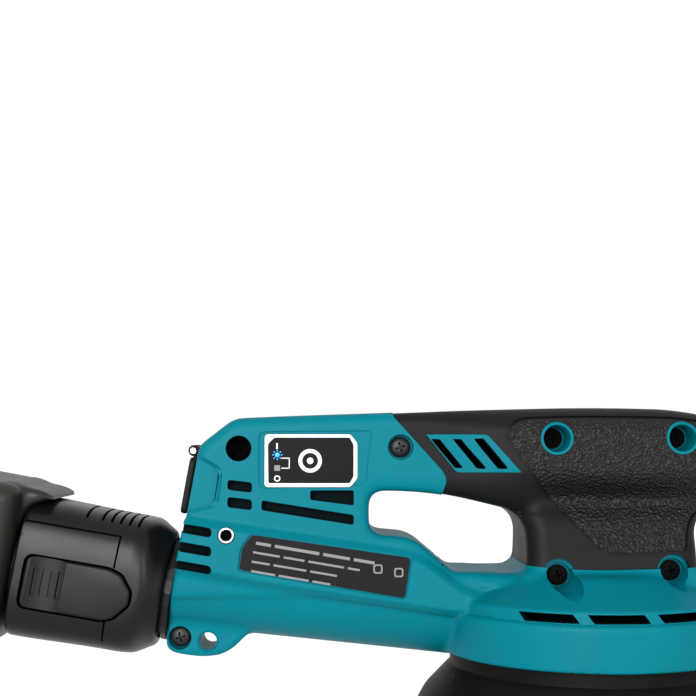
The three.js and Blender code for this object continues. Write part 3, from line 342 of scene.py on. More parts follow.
def turned(profile: Sequence[tuple[float, float]], segments: int = 96, closed: bool = False,
           centre: tuple[float, float] = (0, 0), slot: int = 0) -> Surface:
    """Surface of revolution about Z.

    Args:
        profile: (radius, z) points in order.
        segments: Steps around.
        closed: Whether the profile closes on itself, as a ring's does.
        centre: x, y of the axis.
        slot: Material index.

    Returns:
        x = cx + r cos a, y = cy + r sin a over the profile and the angle.
    """
    p = np.array(profile, float)
    a = np.arange(segments) * 2 * math.pi / segments
    r, z = p[:, None, 0], np.repeat(p[:, None, 1], segments, 1)
    points = np.stack([centre[0] + r * np.cos(a), centre[1] + r * np.sin(a), z], -1)
    return Surface.grid(points, close_u=closed, slot=slot)


def soft_profile(points: Sequence[tuple[float, float, float]], steps: int = 5) -> list[tuple[float, float]]:
    """Closed (radius, z) profile whose corners are quadratic curves of the given reach."""
    return [tuple(p) for p in Outline.rounded(points, steps).points]


def level_surface(solid: Field, low: Sequence[float], high: Sequence[float], step: float) -> Surface:
    """Meshes the zero level of a distance field.

    Each grid cell that the level passes through gets one vertex, the mean of the points where
    the level crosses the cell's edges. Each grid edge that it crosses gets a quad between the
    four cells around it. The vertices then slide along the gradient onto the level.

    Args:
        solid: Field, negative inside.
        low: Lowest corner of the grid.
        high: Highest corner.
        step: Grid spacing in mm.

    Returns:
        A closed surface facing outwards.
    """
    start, end = np.array(low, float) - 1.5 * step, np.array(high, float) + 1.5 * step

    def closed(x: Array, y: Array, z: Array) -> Array:
        limits = [np.maximum(a - v, v - b) for v, a, b in zip((x, y, z), low, high)]
        return np.maximum(solid(x, y, z), np.maximum(np.maximum(limits[0], limits[1]), limits[2]))

    axes = [np.arange(a, b + step, step) for a, b in zip(start, end)]
    grid = np.meshgrid(*axes, indexing="ij", sparse=True)
    value = np.broadcast_to(closed(*grid), [len(a) for a in axes])
    inside = value < 0
    corners = np.array([(i, j, k) for i in (0, 1) for j in (0, 1) for k in (0, 1)])
    count = np.zeros([n - 1 for n in value.shape], np.int8)
    for i, j, k in corners:
        count += inside[i:, j:, k:][: count.shape[0], : count.shape[1], : count.shape[2]]
    mixed = (count > 0) & (count < 8)
    cells = np.argwhere(mixed)
    name = np.full(mixed.shape, -1)
    name[mixed] = np.arange(len(cells))
    total, hits = np.zeros((len(cells), 3)), np.zeros((len(cells), 1))
    for a in corners:
        for axis in np.flatnonzero(a == 0):
            b = a + np.eye(3, dtype=int)[axis]
            va, vb = value[tuple((cells + a).T)], value[tuple((cells + b).T)]
            crossed = ((va < 0) != (vb < 0))[:, None]
            t = np.divide(va, va - vb, out=np.zeros_like(va), where=crossed[:, 0])[:, None]
            total += crossed * (cells + a + t * (b - a))
            hits += crossed
    points = start + step * total / hits
    quads = []
    for axis in range(3):
        u, v = (axis + 1) % 3, (axis + 2) % 3
        filled = np.moveaxis(inside, (axis, u, v), (0, 1, 2))
        names = np.moveaxis(name, (axis, u, v), (0, 1, 2))
        edge = filled[:-1, 1:-1, 1:-1] != filled[1:, 1:-1, 1:-1]
        i, j, k = np.nonzero(edge)
        ring = np.stack([names[i, j, k], names[i, j + 1, k], names[i, j + 1, k + 1], names[i, j, k + 1]], 1)
        outwards = filled[:-1, 1:-1, 1:-1][edge]
        quads.append(np.where(outwards[:, None], ring, ring[:, ::-1]))
    for _ in range(3):
        f = closed(*points.T)
        h = 0.05
        slope = np.stack([(closed(*(points + d).T) - closed(*(points - d).T)) / (2 * h)
                          for d in np.eye(3) * h], 1)
        move = -f[:, None] * slope / np.maximum(np.sum(slope * slope, 1, keepdims=True), 0.05)
        points = points + np.clip(move, -0.6 * step, 0.6 * step)
    faces = np.concatenate(quads)
    return Surface(points, faces.tolist(), [0] * len(faces))


# ---- Blender objects ----


class Join(Enum):
    """How a second solid changes the first."""

    CUT = "DIFFERENCE"
    ADD = "UNION"
    KEEP_SHARED = "INTERSECT"


def cuts(*tools: Surface) -> list[tuple[Join, Surface]]:
    """Steps for combined() that take each tool away."""
    return [(Join.CUT, tool) for tool in tools]


def adds(*tools: Surface) -> list[tuple[Join, Surface]]:
    """Steps for combined() that add each tool."""
    return [(Join.ADD, tool) for tool in tools]


def object_of(name: str, surface: Surface, scale: float = 1) -> bpy.types.Object:
    """Puts a surface into the scene as a mesh object at the origin."""
    mesh = bpy.data.meshes.new(name)
    mesh.from_pydata(surface.points * scale, [], surface.faces)
    mesh.polygons.foreach_set("material_index", np.array(surface.slots, np.int32))
    mesh.update()
    made = bpy.data.objects.new(name, mesh)
    bpy.context.scene.collection.objects.link(made)
    return made


def surface_of(thing: bpy.types.Object) -> Surface:
    """Reads a mesh object back as a surface."""
    mesh = thing.data
    points = np.empty(len(mesh.vertices) * 3, np.float32)
    mesh.vertices.foreach_get("co", points)
    slots = np.empty(len(mesh.polygons), np.int32)
    mesh.polygons.foreach_get("material_index", slots)
    faces = [list(p.vertices) for p in mesh.polygons]
    return Surface(points.reshape(-1, 3).astype(float), faces, slots.tolist())


def combined(first: Surface, *rest: tuple[Join, Surface]) -> Surface:
    """Runs one exact solid operation after another.

    Args:
        first: The solid to start from.
        rest: Each operation with its second solid.

    Returns:
        The result, whose faces keep the material index of the solid that they came from.
    """
    body = object_of("work", first)
    for how, tool in rest:
        other = object_of("tool", tool)
        step = body.modifiers.new("step", "BOOLEAN")
        step.object, step.operation, step.solver = other, how.value, "MANIFOLD"
        graph = bpy.context.evaluated_depsgraph_get()
        result = bpy.data.meshes.new_from_object(body.evaluated_get(graph))
        if not len(result.polygons):
            raise ValueError("a solid operation left nothing")
        body.modifiers.clear()
        before, body.data = body.data, result
        bpy.data.meshes.remove(before)
        bpy.data.meshes.remove(other.data)
    made = surface_of(body)
    bpy.data.meshes.remove(body.data)
    return made


# ---- Finishes ----


def linear(hex_code: str) -> tuple[float, float, float, float]:
    """Turns an sRGB hex colour such as #0a8fa0 into linear RGBA."""
    values = [int(hex_code[k : k + 2], 16) / 255 for k in (1, 3, 5)]
    return (*[v / 12.92 if v <= 0.04045 else ((v + 0.055) / 1.055) ** 2.4 for v in values], 1.0)


def node(tree: bpy.types.NodeTree, kind: str, inputs: dict | None = None,
         **settings: object) -> bpy.types.Node:
    """Adds a node.

    Args:
        tree: Where it goes.
        kind: Its type, such as ShaderNodeBump.
        inputs: Socket name or index to a value, or to the output socket that feeds it.
        settings: Properties of the node itself.

    Returns:
        The node.
    """
    made = tree.nodes.new(kind)
    for key, value in settings.items():
        setattr(made, key, value)
    for key, value in (inputs or {}).items():
        if isinstance(value, bpy.types.NodeSocket):
            tree.links.new(value, made.inputs[key])
        else:
            made.inputs[key].default_value = value
    return made


class Relief(Enum):
    """What the surface's small relief looks like."""

    SPARK = "spark-eroded mould texture: fine rounded noise"
    LEATHER = "etched leather grain: rounded cells"
    FIBRE = "short fibres or open foam: sharp noise"
    GRIT = "crushed grains: hard cells"
    BRUSHED = "turned or drawn metal: noise stretched along one way"
    LAYERS = "stacked sheets or turns of wire: bands across Z"


@dataclass(frozen=True)
class Finish:
    """A material: what it is made of and how its surface was made.

    The colour is mixed with `other` by a slow noise, so that no surface is one flat value, and
    the roughness follows the same noise by `uneven`.
    """

    name: str
    colour: str
    other: str
    roughness: float
    relief: Relief
    grain_mm: float
    height_mm: float
    metallic: float = 0.0
    ior: float = 1.5
    uneven: float = 0.06
    sheen: float = 0.0
    glow: float = 0.0
    shine: float = 0.25

    def pattern(self, tree: bpy.types.NodeTree, place: bpy.types.NodeSocket) -> bpy.types.NodeSocket:
        """Height of the relief: noise or cells whose period is grain_mm in object space."""
        per_metre = 1 / (self.grain_mm * MM)
        match self.relief:
            case Relief.LEATHER | Relief.GRIT:
                feature = "SMOOTH_F1" if self.relief is Relief.LEATHER else "F1"
                made = node(tree, "ShaderNodeTexVoronoi", {"Vector": place, "Scale": per_metre},
                            feature=feature)
                return made.outputs["Distance"]
            case Relief.BRUSHED | Relief.LAYERS:
                stretch = (0.04, 1, 1) if self.relief is Relief.BRUSHED else (0.03, 0.03, 1)
                turned_place = node(tree, "ShaderNodeMapping", {"Vector": place, "Scale": stretch})
                made = node(tree, "ShaderNodeTexNoise",
                            {"Vector": turned_place.outputs[0], "Scale": per_metre, "Detail": 2.0})
                return made.outputs["Fac"]
            case _:
                detail = 4.0 if self.relief is Relief.FIBRE else 1.5
                made = node(tree, "ShaderNodeTexNoise", {"Vector": place, "Scale": per_metre,
                                                         "Detail": detail})
                return made.outputs["Fac"]

    def material(self) -> bpy.types.Material:
        """The node material, made once."""
        known = bpy.data.materials.get(self.name)
        if known:
            return known
        made = bpy.data.materials.new(self.name)
        made.use_nodes = True
        tree = made.node_tree
        tree.nodes.clear()
        place = node(tree, "ShaderNodeTexCoord").outputs["Object"]
        slow = node(tree, "ShaderNodeTexNoise",
                    {"Vector": place, "Scale": 1 / (PATCH_MM * MM), "Detail": 3.0, "Roughness": 0.6})
        mixed = node(tree, "ShaderNodeMix", {0: slow.outputs["Fac"], 6: linear(self.colour),
                                             7: linear(self.other)},
                     data_type="RGBA")
        rough = node(tree, "ShaderNodeMapRange",
                     {"Value": slow.outputs["Fac"], "To Min": self.roughness - self.uneven,
                      "To Max": self.roughness + self.uneven})
        relief = node(tree, "ShaderNodeBump",
                      {"Height": self.pattern(tree, place), "Distance": self.height_mm * MM, "Strength": 1.0})
        surface = node(tree, "ShaderNodeBsdfPrincipled",
                       {"Base Color": mixed.outputs[2], "Roughness": rough.outputs[0],
                        "Normal": relief.outputs[0], "Metallic": self.metallic})
        if not self.metallic:
            surface.inputs["IOR"].default_value = self.ior
            surface.inputs["Specular IOR Level"].default_value = self.shine
        surface.inputs["Sheen Weight"].default_value = self.sheen
        if self.glow:
            surface.inputs["Emission Color"].default_value = linear(self.colour)
            surface.inputs["Emission Strength"].default_value = self.glow
        node(tree, "ShaderNodeOutputMaterial", {"Surface": surface.outputs[0]})
        return made


# Glass-filled nylon, injection moulded in a spark-eroded tool: satin, with grain of about
# 0.2 mm drawn at 0.45 mm so that it shows.
TEAL_NYLON = Finish("moulded_nylon_teal", "#00545f", "#005a66", 0.42, Relief.SPARK, 0.45, 0.02, ior=1.53,
                    shine=0.04)
# Painted shade: near-black nylon for the hollow and for the walls of slots, pockets and wells, where light
# does not reach.
INSIDE_SHADE = Finish("nylon_in_shadow", "#010a0c", "#01080a", 0.8, Relief.SPARK, 0.6, 0.02, shine=0.05)
# Thermoplastic elastomer: softer highlights than nylon and almost black.
ELASTOMER = Finish("moulded_elastomer", "#0d0d0e", "#111112", 0.5, Relief.SPARK, 0.5, 0.03, shine=0.08)
# The palm panel's etched leather grain has cells about 0.8 mm wide.
GRAINED_ELASTOMER = Finish("etched_elastomer", "#0b0b0c", "#111011", 0.42, Relief.LEATHER, 0.8, 0.75,
                           shine=0.15)
SKIRT_RUBBER = Finish("skirt_rubber", "#060605", "#0b0b09", 0.5, Relief.SPARK, 0.6, 0.05, shine=0.05)
BLACK_NYLON = Finish("moulded_nylon_black", "#09090a", "#0d0d0e", 0.4, Relief.SPARK, 0.4, 0.03, ior=1.53,
                     shine=0.13)
BLACK_GLOSS = Finish("moulded_abs_black", "#070708", "#0a0a0b", 0.34, Relief.SPARK, 0.8, 0.01, uneven=0.04,
                     shine=0.18)
BOX_NYLON = Finish("dust_box_nylon", "#0f0f0c", "#151511", 0.45, Relief.SPARK, 0.5, 0.03, shine=0.3)
# Painted shade: near-black matt nylon for the cuff's grooves, seams and latch wells and for most screw heads.
GROOVE_SHADE = Finish("groove_shadow", "#030303", "#040404", 0.8, Relief.SPARK, 0.6, 0.02, shine=0.05)
BEARING_STEEL = Finish("ground_bearing_steel", "#b4b6b8", "#a2a5a8", 0.26, Relief.BRUSHED, 0.3, 0.01,
                       metallic=1)
DARK_STEEL = Finish("blackened_screw_steel", "#2a2b2e", "#3a3b3e", 0.42, Relief.SPARK, 0.5, 0.03, metallic=1)
BLACK_SCREW = Finish("black_oxide_steel", "#0a0a0b", "#0e0e10", 0.42, Relief.SPARK, 0.5, 0.03, shine=0.25)
BRIGHT_STEEL = Finish("plated_steel", "#c9ccce", "#aeb2b5", 0.24, Relief.BRUSHED, 0.25, 0.01, metallic=1)
CAST_ALUMINIUM = Finish("die_cast_aluminium", "#a9acae", "#95999c", 0.48, Relief.SPARK, 0.7, 0.08, metallic=1)
LAMINATION = Finish("silicon_steel_sheets", "#55585c", "#3f4246", 0.45, Relief.LAYERS, 0.5, 0.15, metallic=1)
COPPER_WIRE = Finish("enamelled_copper_wire", "#a4592b", "#c07840", 0.32, Relief.LAYERS, 0.8, 0.4, metallic=1)
PAD_FOAM = Finish("polyurethane_foam", "#1a1b1d", "#242628", 0.9, Relief.FIBRE, 0.9, 0.5, sheen=0.15)
HOOK_FABRIC = Finish("hook_fastener", "#17171a", "#242428", 0.95, Relief.FIBRE, 0.5, 0.5, sheen=0.3)
ABRASIVE_PAPER = Finish("aluminium_oxide_paper", "#52291a", "#6b3a22", 0.9, Relief.GRIT, 0.5, 0.25)
CIRCUIT_BOARD = Finish("glass_epoxy_board", "#17573a", "#1f6b47", 0.45, Relief.SPARK, 1.2, 0.05)
WHITE_PRINT = Finish("white_film", "#b9bdbc", "#b0b4b3", 0.42, Relief.SPARK, 1.0, 0.01)
BLACK_PRINT = Finish("black_film", "#040405", "#060607", 0.4, Relief.SPARK, 1.0, 0.01, shine=0.06)
PLATE_FILM = Finish("printed_plate_film", "#0d0c0e", "#100f11", 0.5, Relief.SPARK, 0.8, 0.02, shine=0.07)
PLATE_PRINT = Finish("pale_print", "#5c5c5e", "#666668", 0.5, Relief.SPARK, 0.8, 0.01)
BLUE_LIGHT = Finish("blue_light_guide", "#1d7fc8", "#2a8ed2", 0.25, Relief.SPARK, 1.0, 0.01, glow=0.6)
FILTER_PAPER = Finish("pleated_filter_paper", "#dcd7c8", "#cfc9b8", 0.9, Relief.FIBRE, 0.8, 0.15)

# The finish of each CAD node that stays as it is.
KEPT_NODES: dict[Finish, tuple[str, ...]] = {
    BLACK_NYLON: ("fan", "dust_duct", "outlet_spigot", "power_inlet", "filter_frame"),
    CAST_ALUMINIUM: ("bearing_plate", "controller"),
    LAMINATION: ("stator_core", "motor_rotor"),
    COPPER_WIRE: ("winding_upper", "winding_lower"),
    BEARING_STEEL: ("upper_bearing", "lower_bearing", "motor_shaft", "counterweight", "pad_bearing",
                    "cap_pin",
                    "latch_spring_right", "latch_spring_left", "lid_pin"),
    DARK_STEEL: ("pad_screw",),
    CIRCUIT_BOARD: ("switch_board",),
    FILTER_PAPER: ("filter_cartridge",),
    ELASTOMER: ("throat_seal",),
}


@dataclass(frozen=True)
class Duty:
    """What a finished piece stands for: its body, its CAD node and its material slot."""

    body: str
    node: str
    slot: str


def add_piece(name: str, surface: Surface, duty: Duty, *finishes: Finish,
              sharp: float = 34) -> bpy.types.Object:
    """Makes a finished piece from a surface.

    Args:
        name: Name of the object.
        surface: Its shape in mm.
        duty: What it rides and replaces.
        finishes: One finish for each material index of the surface.
        sharp: Edges that turn by more than this many degrees stay crisp.

    Returns:
        The object, in metres.
    """
    made = object_of(name, surface, MM)
    for finish in finishes:
        made.data.materials.append(finish.material())
    made.data.shade_smooth()
    made.data.set_sharp_from_angle(angle=math.radians(sharp))
    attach(made, duty.body)
    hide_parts(duty.node)
    log.info("%s: %d faces", name, len(made.data.polygons))
    return made


def dress_kept_nodes() -> None:
    """Gives a procedural finish to every CAD node that stays as it is."""
    for finish, names in KEPT_NODES.items():
        for name in names:
            thing = bpy.data.objects[name]
            thing.data.materials.clear()
            thing.data.materials.append(finish.material())


# ---- Where things are ----


@dataclass(frozen=True)
class Sizes:
    """Driving sizes of the tool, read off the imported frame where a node's box holds them."""

    top: float
    pad_radius: float
    rear: float = -145.5
    outlet_z: float = 51.0
    tilt: float = math.radians(10)
    neck_rear: float = -24.3
    neck_front: float = 34.0
    shelf: float = 58.0
    head_radius: float = 52.4
    head_low: float = 30.0
    band_top: float = 45.0
    slot_top: float = 48.8
    half: float = 20.0
    belt_half: float = 23.0
    tube_radius: float = 19.5
    tube_rise: float = 0.105
    start_x: float = -110.0
    stop_x: float = -97.0
    dial_x: float = -83.3

    @classmethod
    def of_frame(cls) -> Sizes:
        """Reads the tool's height and the pad's radius from the CAD boxes."""
        skin_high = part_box("grip_skin_right")[1]
        disc_low, disc_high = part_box("abrasive_disc")
        return cls(top=skin_high[2] / MM, pad_radius=(disc_high[1] - disc_low[1]) / 2 / MM)

    def rear_at(self, z: float) -> float:
        """X of the sloping rear face at height z: a straight line tilted by `tilt`."""
        return self.rear + (z - self.outlet_z) * math.tan(self.tilt)

    def tube_axis(self, x: Array) -> Array:
        """Height of the round underside's axis, which climbs to the rear by `tube_rise` per mm."""
        return self.shelf - 11 + (self.neck_rear - 16 - x) * self.tube_rise

    def eyelet(self) -> tuple[float, float]:
        """X and Z of the eyelet above the rating plate."""
        return self.rear + 18.9, self.shelf + 13.2

    def at_outlet(self, surface: Surface) -> Surface:
        """Takes a surface from (rearwards, right, up the rear face) about the outlet to the tool."""
        c, s = math.cos(self.tilt), math.sin(self.tilt)
        return surface.turned_by(np.array([[-c, 0, s], [0, -1, 0], [s, 0, c]]), (self.rear, 0, self.outlet_z))


@dataclass(frozen=True)
class Screw:
    """A clamshell screw that enters from the right: its axis and how far out its head sits."""

    node: str
    x: float
    z: float
    seat: float
    recess: float = 4.3


# Radius of the holes that the shanks run through.
SHANK_HOLE = 2.3
SCREWS = (
    Screw("screw_rear_top", -122.8, 100.4, 7),
    Screw("screw_handle", -67.5, 100.8, 15.6),
    Screw("screw_grip_rear", -14.3, 103.8, 11),
    Screw("screw_grip_front", 28.7, 104, 11),
    Screw("screw_neck_rear", -14.3, 57.6, 18.5),
    Screw("screw_neck_front", 24.6, 58.9, 17),
    Screw("screw_lug", -143.3, 35.2, 6, 3.9),
)


# ---- Clamshell and grip skins ----


def left_half(solid: Field, low: tuple[float, float], high: Sequence[float], step: float) -> Surface:
    """Level surface of the left half (+Y), closed by a flat face just past the middle plane."""
    return level_surface(solid, (low[0], -1, low[1]), high, step)


@dataclass
class Body:
    """The outer form of the clamshell and of the elastomer grip, as distance fields.

    Both halves are alike: every field depends on the distance from the middle plane.
    """

    sizes: Sizes
    palm_swell: float = 2.4
    waist: float = 4.2
    flare: float = 3.4
    seam: float = 0.15
    tables: dict[str, DistanceTable] = field(init=False)

    def __post_init__(self) -> None:
        """Samples the outlines once, because every field reads them many times."""
        s = self.sizes
        neck = Outline.box(s.neck_rear - 3.2, s.neck_front + 3, 40, s.shelf + 1.6, 2)
        outlines = {"upper": self.upper_outline(), "opening": self.opening(), "belt": self.belt_outline(),
                    "lug": self.lug_outline(), "neck": neck}
        self.tables = {k: DistanceTable.of(v, (-158, 22), (62, 122), 0.4) for k, v in outlines.items()}
        self.tables["head"] = DistanceTable.of(self.head_profile(), (0, 20), (165, 122), 0.3)

    def opening(self) -> Outline:
        """The finger opening between handle, grip, neck and shelf."""
        s = self.sizes
        rear, high, ledge = s.rear + 66.9, s.top - 28.3, s.shelf + 12
        return Outline.rounded([
            (rear, high, 6), (-57, high - 0.2, 14), (-33.5, high - 5.9, 8), (s.neck_rear, high - 8.2, 8.5),
            (s.neck_rear, s.shelf, 5.5), (-49.3, s.shelf, 2.2), (-63.3, ledge - 0.3, 4.5),
            (rear, ledge + 1, 5.5)], 8)

    def upper_outline(self) -> Outline:
        """Rear handle, palm grip, nose and neck in side view, over the finger opening."""
        s = self.sizes
        top = s.top
        return Outline.rounded([
            (s.rear_at(50), 50, 0), (s.rear_at(top - 13.6), top - 13.6, 3.2), (-124.4, top - 4.1, 3.2),
            (-101.5, top - 3.1, 14), (-69.5, top - 2.1, 14), (-42, top - 0.9, 12), (5, top + 0.2, 22),
            (31, top - 0.9, 10), (43.5, top - 3.9, 7), (54.6, top - 13.5, 8), (53.6, top - 31, 9),
            (s.neck_front, top - 37.8, 7), (s.neck_front, 50, 0)], 8)

    def belt_outline(self) -> Outline:
        """The wide side band that climbs to the rear, down to the step over the tube."""
        s = self.sizes
        return Outline.rounded([
            (s.rear_at(59) - 3, 59.4, 0), (-111.6, 52.9, 30), (-67.7, 46.6, 12), (-52, 44, 5), (-41, 43.4, 0),
            (-41, 51.9, 0), (-46.5, 53.5, 3.4), (-60.6, 64.3, 4), (-67.7, 65.9, 4), (-111.6, 72.8, 30),
            (s.rear_at(77.3) - 3, 77.5, 0)])

    def head_profile(self) -> Outline:
        """Half section of the round head: band, slot groove and the cone up to the neck."""
        s = self.sizes
        r = s.head_radius
        return Outline.rounded([
            (-20, s.head_low, 0), (r - 0.2, s.head_low, 0.8), (r, s.band_top - 0.4, 1.2),
            (r - 2, s.band_top, 0.5), (r - 2, s.slot_top, 0.7), (r - 12, s.slot_top + 4.6, 5),
            (31, s.shelf, 4), (-20, s.shelf, 0)], 5)

    def lug_outline(self) -> Outline:
        """The hanging eye under the rear of the tube."""
        low, x = self.sizes.outlet_z - 21.6, self.sizes.rear
        return Outline.rounded([
            (x - 2.4, low + 13, 0), (x - 2.8, low + 1.4, 4), (x + 5, low - 0.3, 4), (x + 12.5, low - 0.8, 4),
            (x + 18.8, low + 0.6, 4), (x + 24.9, low + 6.3, 3), (x + 30, low + 12, 0)], 7)

    def half_width(self, x: Array, z: Array) -> Array:
        """Half width of handle and grip: flat at the rear, swelling at the palm, waisted under it."""
        s = self.sizes
        grip = step_up(x, -48, -16)
        palm = self.palm_swell * grip * step_up(z, 84, 94) * step_up(z, 119, 106)
        waist = self.waist * step_up(x, -34, -10) * bump(z, 82, 5.2)
        foot = self.flare * step_up(z, 76, s.shelf) * step_up(x, -45, -26)
        return s.half + palm - waist + foot

    def upper(self, x: Array, y: Array, z: Array) -> Array:
        """Handle and grip: a rounded extrusion of the side view less the finger opening."""
        flat = smooth_max(self.tables["upper"].at(x, z), -self.tables["opening"].at(x, z), 0.6)
        rim = 4.6 + 4.4 * step_up(x, -66, -28)
        low = step_up(z, 90, 66)
        return rimmed(flat, np.abs(y) - self.half_width(x, z), rim - 2.4 * low)

    def tube(self, x: Array, y: Array, z: Array) -> Array:
        """Round underside that carries the dust duct: distance to its sloping axis."""
        s = self.sizes
        across = (z - s.tube_axis(x)) / math.hypot(1, s.tube_rise)
        return smooth_max(np.hypot(y, across) - s.tube_radius, x + 33, 2)

    def lower(self, x: Array, y: Array, z: Array) -> Array:
        """Belt, tube, handle foot, lug and head, filleted into each other."""
        s = self.sizes
        side = np.abs(y)
        belt = chamfered(self.tables["belt"].at(x, z), side - s.belt_half, 2.2)
        foot = rimmed(self.tables["upper"].at(x, z), side - s.half + 0.6, 3)
        foot = np.maximum(foot, x + 40)
        body = smooth_min(smooth_min(belt, foot, 1.2), self.tube(x, y, z), 2.2)
        lug = rimmed(self.tables["lug"].at(x, z), side - 10, 1.4)
        body = smooth_min(body, lug, 2.5)
        head = self.tables["head"].at(np.hypot(x, y), z)
        neck = rimmed(self.tables["neck"].at(x, z), side - s.half - 3.6, 3)
        head = smooth_min(head, neck, 3.5)
        body = smooth_min(body, head, 1.6)
        gap = rimmed(self.tables["opening"].at(x, z), side - 90, 0.5)
        body = smooth_max(body, -gap, 3.4)
        under = rimmed(np.hypot(x, y) - (s.head_radius - 2.8), z - s.head_low, 0.4)
        return smooth_max(body, -under, 0.6)

    def behind(self, x: Array, z: Array) -> Array:
        """Distance in front of the sloping rear face, negative inside the tool."""
        s = self.sizes
        return -((x - s.rear) * math.cos(s.tilt) - (z - s.outlet_z) * math.sin(s.tilt))

    def shell(self, x: Array, y: Array, z: Array) -> Array:
        """Everything teal outside: upper and lower parts, cut by the rear face."""
        body = smooth_min(self.upper(x, y, z), self.lower(x, y, z), 1.2)
        return smooth_max(body, self.behind(x, z), 1.2)


